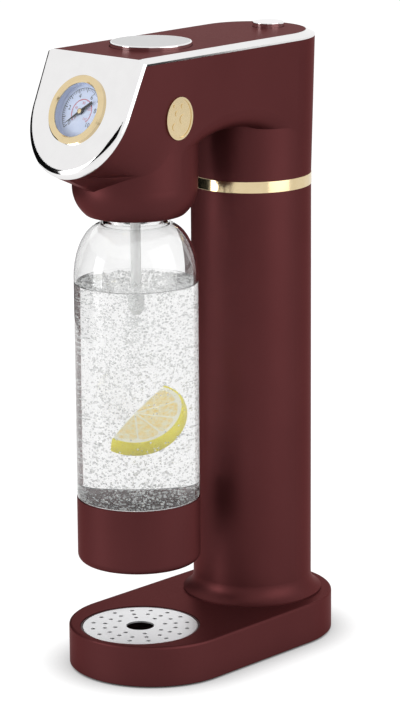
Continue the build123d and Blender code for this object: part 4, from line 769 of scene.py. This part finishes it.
def sweep(verts, faces, profile, from_turn, to_turn, steps):
    """Carries a closed outline of (radius, height) points round an arc in the lemon's plane."""
    first = len(verts)
    count = len(profile)
    for step in range(steps + 1):
        turn = math.radians(from_turn + (to_turn - from_turn) * step / steps)
        for radius, height in profile:
            x, y = radius * math.cos(turn), radius * math.sin(turn)
            verts.append(lemon_frame @ Vector((x, y, height)))
    for step in range(steps):
        for k in range(count):
            after = (k + 1) % count
            a, b = first + step * count, first + (step + 1) * count
            faces.append([a + k, b + k, b + after, a + after])
    faces.append([first + k for k in range(count)])
    faces.append([first + steps * count + k for k in reversed(range(count))])


# The peel bulges a little between the two cuts. It shines softly and is pitted with oil glands.
verts, faces = [], []
peel_in = lemon_r - peel
cut_round = 0.0009
bulge = 0.0002
peel_outline = [
    (peel_in, -lemon_half),
    (lemon_r - cut_round, -lemon_half),
    (lemon_r - bulge, -0.6 * lemon_half),
    (lemon_r, 0.0),
    (lemon_r - bulge, 0.6 * lemon_half),
    (lemon_r - cut_round, lemon_half),
    (peel_in, lemon_half),
]
sweep(verts, faces, peel_outline, 0.0, 180.0, slice_steps)
lemon_peel, tree, place = new_finish("waxy lemon peel")
pore_mm = 1.1  # oil glands, drawn a little coarse
pores = add(tree, "TexVoronoi", {"Vector": place, "Scale": 1000 / pore_mm})
tone = add(tree, "MapRange", {"Value": pores.outputs[0], "From Max": 0.6})
colour = add(
    tree,
    "Mix",
    {"Factor": tone.outputs[0], 6: linear("#F6D90A"), 7: linear("#FFF45A")},
    data_type="RGBA",
)
relief = add(tree, "Bump", {"Height": pores.outputs[0], "Strength": 0.6, "Distance": 0.0003})
shader = add(
    tree,
    "BsdfPrincipled",
    {"Base Color": colour.outputs[2], "Roughness": 0.42, "IOR": 1.45, "Normal": relief.outputs[0]},
)
add(tree, "OutputMaterial", {"Surface": shader.outputs[0]})
peel_piece = new_piece("lemon_peel", verts, faces, lemon_peel)
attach(peel_piece, "bottle")

# The pith is spongy, matt and almost white, and dries back a little behind the cuts.
verts, faces = [], []
pith_half = lemon_half - 0.0003
half_disc = [(0.0, -pith_half), (peel_in, -pith_half), (peel_in, pith_half), (0.0, pith_half)]
sweep(verts, faces, half_disc, 0.0, 180.0, slice_steps)
lemon_pith, tree, place = new_finish("spongy lemon pith")
fluff_mm = 0.8  # cells of the white pith
fluff = add(tree, "TexNoise", {"Vector": place, "Scale": 1000 / fluff_mm, "Detail": 3.0})
colour = add(
    tree,
    "Mix",
    {"Factor": fluff.outputs[0], 6: linear("#FFFAE0"), 7: linear("#FFFFF6")},
    data_type="RGBA",
)
relief = add(tree, "Bump", {"Height": fluff.outputs[0], "Strength": 0.4, "Distance": 0.0002})
shader = add(
    tree,
    "BsdfPrincipled",
    {"Base Color": colour.outputs[2], "Roughness": 0.7, "Normal": relief.outputs[0]},
)
add(tree, "OutputMaterial", {"Surface": shader.outputs[0]})
pith_piece = new_piece("lemon_pith", verts, faces, lemon_pith)
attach(pith_piece, "bottle")

# Each segment is a rounded wedge that stands a hair proud of the pith. It is wet and streaky, and
# palest where its juice sacs are full.
verts, faces = [], []
flesh_r = peel_in - pith
flesh_half = lemon_half - 0.0001
corner_round = 0.0022
corner = ((flesh_r - corner_round, 0.0), (flesh_r - 0.0006, 0.0008))  # radius, gap at the membrane
rim_steps = 6
for segment in range(segments):
    start = 180.0 * segment / segments
    end = 180.0 * (segment + 1) / segments
    middle = math.radians((start + end) / 2)
    tip = membrane / 2 / math.sin(math.radians(90.0 / segments))
    outline = [(tip * math.cos(middle), tip * math.sin(middle))]
    for radius, gap in corner:
        turn = math.radians(start + math.degrees((membrane / 2 + gap) / radius))
        outline.append((radius * math.cos(turn), radius * math.sin(turn)))
    aside = math.degrees((membrane / 2 + corner_round) / flesh_r)
    for step in range(rim_steps + 1):
        turn = math.radians(start + aside + (end - start - 2 * aside) * step / rim_steps)
        outline.append((flesh_r * math.cos(turn), flesh_r * math.sin(turn)))
    for radius, gap in reversed(corner):
        turn = math.radians(end - math.degrees((membrane / 2 + gap) / radius))
        outline.append((radius * math.cos(turn), radius * math.sin(turn)))
    first = len(verts)
    count = len(outline)
    for height in (-flesh_half, flesh_half):
        verts.extend(lemon_frame @ Vector((x, y, height)) for x, y in outline)
    faces.append([first + k for k in reversed(range(count))])
    faces.append([first + count + k for k in range(count)])
    for k in range(count):
        after = (k + 1) % count
        faces.append([first + k, first + after, first + count + after, first + count + k])
lemon_flesh, tree, place = new_finish("juicy lemon flesh")
sac_mm = 2.4  # width of a juice sac
sacs = add(tree, "TexVoronoi", {"Vector": place, "Scale": 1000 / sac_mm}, feature="SMOOTH_F1")
streak_mm = 1.5  # pale streaks inside the sacs
streak = add(
    tree, "TexNoise", {"Vector": place, "Scale": 1000 / streak_mm, "Detail": 4.0, "Distortion": 1.5}
)
blend = add(tree, "Math", {0: sacs.outputs[0], 1: streak.outputs[0]}, operation="MULTIPLY")
shade = add(tree, "MapRange", {"Value": blend.outputs[0], "From Min": 0.05, "From Max": 0.4})
colour = add(
    tree,
    "Mix",
    {"Factor": shade.outputs[0], 6: linear("#FFE184"), 7: linear("#FFFBE0")},
    data_type="RGBA",
)
relief = add(tree, "Bump", {"Height": blend.outputs[0], "Strength": 0.6, "Distance": 0.0004})
shader = add(
    tree,
    "BsdfPrincipled",
    {"Base Color": colour.outputs[2], "Roughness": 0.3, "Normal": relief.outputs[0]},
)
add(tree, "OutputMaterial", {"Surface": shader.outputs[0]})
flesh_piece = new_piece("lemon_flesh", verts, faces, lemon_flesh)
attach(flesh_piece, "bottle")

# ---------------------------------------------------------------- Water
# The bottle is filled with clear water nearly to its shoulder. The surface creeps a little up the
# glass at its edge, and the gas that streams in keeps the water moving.
water_z = 0.286
dip = 0.0004  # how far the water is drawn into the glass, so that no air film shows between them
water_round = foot_round + dip
water_profile = [(0.0, inner_floor + 0.001 - dip), (0.024, inner_floor - 0.0004 - dip)]
water_profile += quarter(inner_round_r, inner_round_z, water_round, water_round, -90, 0, 8)
water_profile += [(inner_foot_r + dip, glass_step_z), (inner_r + dip, glass_step_z + 0.005)]
water_profile += [(inner_r + dip, water_z), (inner_r - 0.0012, water_z - 0.0011)]
water_profile += [(inner_r - 0.004, water_z - 0.0014), (0.0, water_z - 0.0015)]

# Water is clear, and only its slow swirls bend the light. Lamp light passes through it.
water, tree, place = new_finish("clear water")
swirl_mm = 9.0
swirl = add(tree, "TexNoise", {"Vector": place, "Scale": 1000 / swirl_mm, "Detail": 2.0})
relief = add(tree, "Bump", {"Height": swirl.outputs[0], "Strength": 0.2, "Distance": 0.0003})
shader = add(
    tree,
    "BsdfPrincipled",
    {
        "Base Color": linear("#F6F6F6"),
        "Roughness": 0.0,
        "IOR": 1.33,
        "Transmission Weight": 1.0,
        "Normal": relief.outputs[0],
    },
)
clear_to_lamps(tree, shader, "#FFFFFF")
water_piece = lathe("bottle_water", water_profile, water)
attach(water_piece, "bottle")

# Carbonated water is full of fine gas bubbles, which flash white where they turn the light back;
# part of that flash is painted, as a matt white coat on their rims.
# They pour from the tube's tip, rise through the water and gather at its surface. The slice of lemon
# keeps them off the water close to its faces.
draw = random.Random(41)
unit = bmesh.new()
bmesh.ops.create_icosphere(unit, subdivisions=1, radius=1.0)
unit.verts.ensure_lookup_table()
ball = [v.co.copy() for v in unit.verts]
ball_faces = [[v.index for v in face.verts] for face in unit.faces]
unit.free()
verts, faces = [], []
lemon_inverse = lemon_frame.inverted()
sheltered = 0.024  # how far from the slice's middle, to each side
spare = 0.001  # and how far round its edge


def bubble(x, y, z, radius):
    """Adds one bubble at a place from the bottle's axis, unless the lemon keeps it away."""
    middle = Vector((bottle_axis.x + x, bottle_axis.y + y, z))
    beside = lemon_inverse @ middle
    in_outline = math.hypot(beside.x, beside.y) < lemon_r + spare and beside.y > -spare
    if in_outline and abs(beside.z) < sheltered:
        return
    first = len(verts)
    verts.extend(middle + corner * radius for corner in ball)
    faces.extend([first + k for k in face] for face in ball_faces)


fizz_r = inner_r - 0.0012
fizz_low = inner_floor + 0.006
fizz_top = water_z - 0.003
foot_fizz_r = inner_foot_r - 0.003  # in the narrower foot, up to the next height
foot_fizz_top = glass_step_z + 0.004
fizz_count = 9000
smallest = 0.00022
largest = 0.00092
few_large = 2.2  # a power that keeps most bubbles small
for _ in range(fizz_count):
    turn = draw.uniform(0, 2 * math.pi)
    reach = fizz_r * math.sqrt(draw.random()) * 0.99
    height = draw.uniform(fizz_low, fizz_top)
    reach = min(reach, foot_fizz_r if height < foot_fizz_top else fizz_r)
    radius = smallest + (largest - smallest) * draw.random() ** few_large
    bubble(reach * math.cos(turn), reach * math.sin(turn), height, radius)
stream_count = 220  # the stream that is blown down from the tube's tip and spreads
stream_top = 0.262
stream_length = 0.045
stream_start, stream_growth = 0.0015, 0.008  # its spread at the tip, and what it gains on the way
for _ in range(stream_count):
    fall = draw.random() ** 1.4
    spread = stream_start + stream_growth * fall
    x, y = draw.gauss(0, spread), draw.gauss(0, spread)
    bubble(x, y, stream_top - stream_length * fall, draw.uniform(0.0003, 0.0009))
surface_count = 700
surface_r = fizz_r - 0.001
surface_z = water_z - 0.0012
for _ in range(surface_count):
    turn = draw.uniform(0, 2 * math.pi)
    reach = surface_r * math.sqrt(draw.random())
    x, y = reach * math.cos(turn), reach * math.sin(turn)
    bubble(x, y, surface_z, draw.uniform(0.0005, 0.0012))

# A bubble shines at its rim and is clear in the middle, and lamp light passes it by.
# Its rim mixes a true mirror with a matt white coat, a painted glint.
bubble_skin, tree, place = new_finish("gas bubble in water")
glint_mm = 1.0  # unevenness of the shine
glint = add(tree, "TexNoise", {"Vector": place, "Scale": 1000 / glint_mm, "Detail": 1.0})
tone = add(
    tree,
    "Mix",
    {"Factor": glint.outputs[0], 6: linear("#E4E7E7"), 7: linear("#FFFFFF")},
    data_type="RGBA",
)
mirror = add(
    tree, "BsdfPrincipled", {"Base Color": tone.outputs[2], "Metallic": 1.0, "Roughness": 0.18}
)
# Painted glint: a matt white coat that stands in for the light a bubble turns back.
painted_glint_coat = add(tree, "BsdfDiffuse", {"Color": linear("#FFFFFF")})
painted_glint_share = 0.6
rim = add(tree, "MixShader", {0: painted_glint_share, 1: mirror.outputs[0], 2: painted_glint_coat.outputs[0]})
core = add(tree, "BsdfTransparent", {"Color": linear("#FFFFFF")})
edge = add(tree, "LayerWeight", {"Blend": 0.35})
shell = add(tree, "MapRange", {"Value": edge.outputs["Facing"], "To Min": 0.3, "To Max": 1.0})
rays = add(tree, "LightPath")
let_by = add(tree, "Math", {0: 1.0, 1: rays.outputs["Is Shadow Ray"]}, operation="SUBTRACT")
shell = add(tree, "Math", {0: shell.outputs[0], 1: let_by.outputs[0]}, operation="MULTIPLY")
shader = add(tree, "MixShader", {0: shell.outputs[0], 1: core.outputs[0], 2: rim.outputs[0]})
add(tree, "OutputMaterial", {"Surface": shader.outputs[0]})
fizz_piece = new_piece("water_bubbles", verts, faces, bubble_skin, smooth_degrees=180.0)
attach(fizz_piece, "bottle")

# ---------------------------------------------------------------- Studio
# The machine stands on a wide sheet of matt white paper in a white room. The paper shows as white
# and keeps a soft shadow round the machine's foot: partly real shade on its matt coat, and partly
# a painted contact shadow, where ambient occlusion dims its glow.
paper, tree, place = new_finish("white studio paper")
clumps_per_metre = 300.0  # clumps of fibre
fibre = add(tree, "TexNoise", {"Vector": place, "Scale": clumps_per_metre, "Detail": 3.0})
tone = add(
    tree,
    "Mix",
    {"Factor": fibre.outputs[0], 6: linear("#939393"), 7: linear("#979797")},
    data_type="RGBA",
)
paper_shader = add(tree, "BsdfDiffuse", {"Color": tone.outputs[2]})
rays = add(tree, "LightPath")
seen_level = 0.87  # added light where the paper is seen
glass_share = 0.96  # and the share of it that is seen through glass
mirrored_level = 0.74  # added light where a polished part mirrors it
glass_ray, camera_ray = rays.outputs["Is Transmission Ray"], rays.outputs["Is Camera Ray"]
through = add(tree, "Math", {0: glass_ray, 1: glass_share}, operation="MULTIPLY")
seen = add(tree, "Math", {0: camera_ray, 1: through.outputs[0]}, operation="MAXIMUM")
seen = add(tree, "Math", {0: seen.outputs[0], 1: seen_level}, operation="MULTIPLY")
mirror_ray = rays.outputs["Is Glossy Ray"]
mirrored = add(tree, "Math", {0: mirror_ray, 1: mirrored_level}, operation="MULTIPLY")
level = add(tree, "Math", {0: seen.outputs[0], 1: mirrored.outputs[0]}, operation="MAXIMUM")
# Painted contact shadow: ambient occlusion dims the paper's glow close to the machine.
painted_shadow_reach_mm = 28  # how far the contact shadow reaches out from the base
painted_contact_shade = add(tree, "AmbientOcclusion", {"Distance": painted_shadow_reach_mm / 1000}, samples=8)
level = add(tree, "Math", {0: level.outputs[0], 1: painted_contact_shade.outputs["AO"]}, operation="MULTIPLY")
glow = add(tree, "Emission", {"Color": linear("#FFFFFF"), "Strength": level.outputs[0]})
lit = add(tree, "AddShader", {0: paper_shader.outputs[0], 1: glow.outputs[0]})
add(tree, "OutputMaterial", {"Surface": lit.outputs[0]})
floor_half = 6.0
corners = ((-1, -1), (1, -1), (1, 1), (-1, 1))
floor_corners = [(x * floor_half, y * floor_half, 0.0) for x, y in corners]
floor = new_piece("studio_floor", floor_corners, [[0, 1, 2, 3]], paper)

# The room is full white where it is seen or mirrored, and a little dimmer as light on matt parts.
room_light = 0.72
world = bpy.data.worlds.new("white room")
bpy.context.scene.world = world
world.use_nodes = True
tree = world.node_tree
tree.nodes.clear()
rays = add(tree, "LightPath")
seen = rays.outputs["Is Camera Ray"]
for path in ("Is Glossy Ray", "Is Transmission Ray"):
    seen = add(tree, "Math", {0: seen, 1: rays.outputs[path]}, operation="MAXIMUM").outputs[0]
level = add(tree, "MapRange", {"Value": seen, "To Min": room_light, "To Max": 1.0})
room = add(tree, "Background", {"Color": linear("#FFFFFF"), "Strength": level.outputs[0]})
add(tree, "OutputWorld", {"Surface": room.outputs[0]})

# The camera stands in front to the right, looks slightly down, and is a long way off.
camera_turn = math.radians(42.746)
camera_pitch = math.radians(13.803)
camera_roll = math.radians(0.43)
forward = Vector(
    (
        -math.sin(camera_turn) * math.cos(camera_pitch),
        math.cos(camera_turn) * math.cos(camera_pitch),
        -math.sin(camera_pitch),
    )
)
level_right = Vector((math.cos(camera_turn), math.sin(camera_turn), 0.0))
level_back = Vector((math.sin(camera_turn), -math.cos(camera_turn), 0.0))
level_down = forward.cross(level_right)
right = level_right * math.cos(camera_roll) + level_down * math.sin(camera_roll)
down = level_down * math.cos(camera_roll) - level_right * math.sin(camera_roll)
camera_data = bpy.data.cameras.new("camera")
picture_height = 702  # pixels
focal_length = 3225.96  # pixels
camera_data.lens = camera_data.sensor_width * focal_length / picture_height
camera_data.clip_end = 100.0
camera = bpy.data.objects.new("camera", camera_data)
turned = Matrix((right, -down, -forward)).transposed().to_4x4()
camera_spot = (1.53833, -1.66478, 0.77915)
camera.matrix_world = Matrix.Translation(camera_spot) @ turned
bpy.context.scene.collection.objects.link(camera)
bpy.context.scene.camera = camera


def beside_camera(turn, reach):
    """A point on the floor, a turn in degrees to the right of the camera and a reach away."""
    towards = math.radians(turn)
    return (level_back * math.cos(towards) + level_right * math.sin(towards)) * reach


def softbox(name, turn, reach, height, width, tall, watts):
    """An upright soft light that faces the machine."""
    lamp_data = bpy.data.lights.new(name, "AREA")
    lamp_data.shape = "RECTANGLE"
    lamp_data.size = width
    lamp_data.size_y = tall
    lamp_data.energy = watts
    lamp = bpy.data.objects.new(name, lamp_data)
    lamp.location = beside_camera(turn, reach) + Vector((0.0, 0.0, height))
    aim = Vector((0.0, 0.0, 0.25)) - lamp.location  # about the middle of the machine
    lamp.rotation_euler = aim.to_track_quat("-Z", "Y").to_euler()
    lamp.visible_camera = False
    lamp.visible_transmission = False
    bpy.context.scene.collection.objects.link(lamp)


# A wide soft light on the right draws the bright bands down the lacquer, and a smaller one on the
# left lifts the shaded side.
softbox("strip_right", turn=56.0, reach=1.2, height=0.64, width=1.1, tall=1.2, watts=6.2)
softbox("soft_left", turn=-72.0, reach=1.5, height=0.35, width=0.5, tall=0.8, watts=7.5)

# Black felt cards stand round the machine and give its polished parts their dark edges. Only
# mirrored light meets them.
felt, tree, place = new_finish("black felt")
nap_mm = 2.0
nap = add(tree, "TexNoise", {"Vector": place, "Scale": 1000 / nap_mm, "Detail": 3.0})
tone = add(
    tree,
    "Mix",
    {"Factor": nap.outputs[0], 6: linear("#0A0A0A"), 7: linear("#141414")},
    data_type="RGBA",
)
felt_shader = add(tree, "BsdfDiffuse", {"Color": tone.outputs[2]})
add(tree, "OutputMaterial", {"Surface": felt_shader.outputs[0]})


def card(name, from_turn, to_turn, reach, low, high, steps=24):
    """An upright card bent round the machine, between two turns and two heights."""
    verts = []
    for step in range(steps + 1):
        foot = beside_camera(from_turn + (to_turn - from_turn) * step / steps, reach)
        verts += [foot + Vector((0.0, 0.0, low)), foot + Vector((0.0, 0.0, high))]
    faces = [[2 * step, 2 * step + 2, 2 * step + 3, 2 * step + 1] for step in range(steps)]
    piece = new_piece(name, verts, faces, felt)
    piece.visible_camera = False
    piece.visible_diffuse = False
    piece.visible_transmission = False
    piece.visible_shadow = False


card("card_left", from_turn=-170.0, to_turn=-82.0, reach=1.0, low=0.02, high=0.64)
card("card_right", from_turn=78.0, to_turn=125.0, reach=1.0, low=0.244, high=0.30)
card("card_lens", from_turn=-60.0, to_turn=-6.0, reach=1.0, low=0.44, high=0.76)

bpy.context.scene.view_settings.view_transform = "Standard"
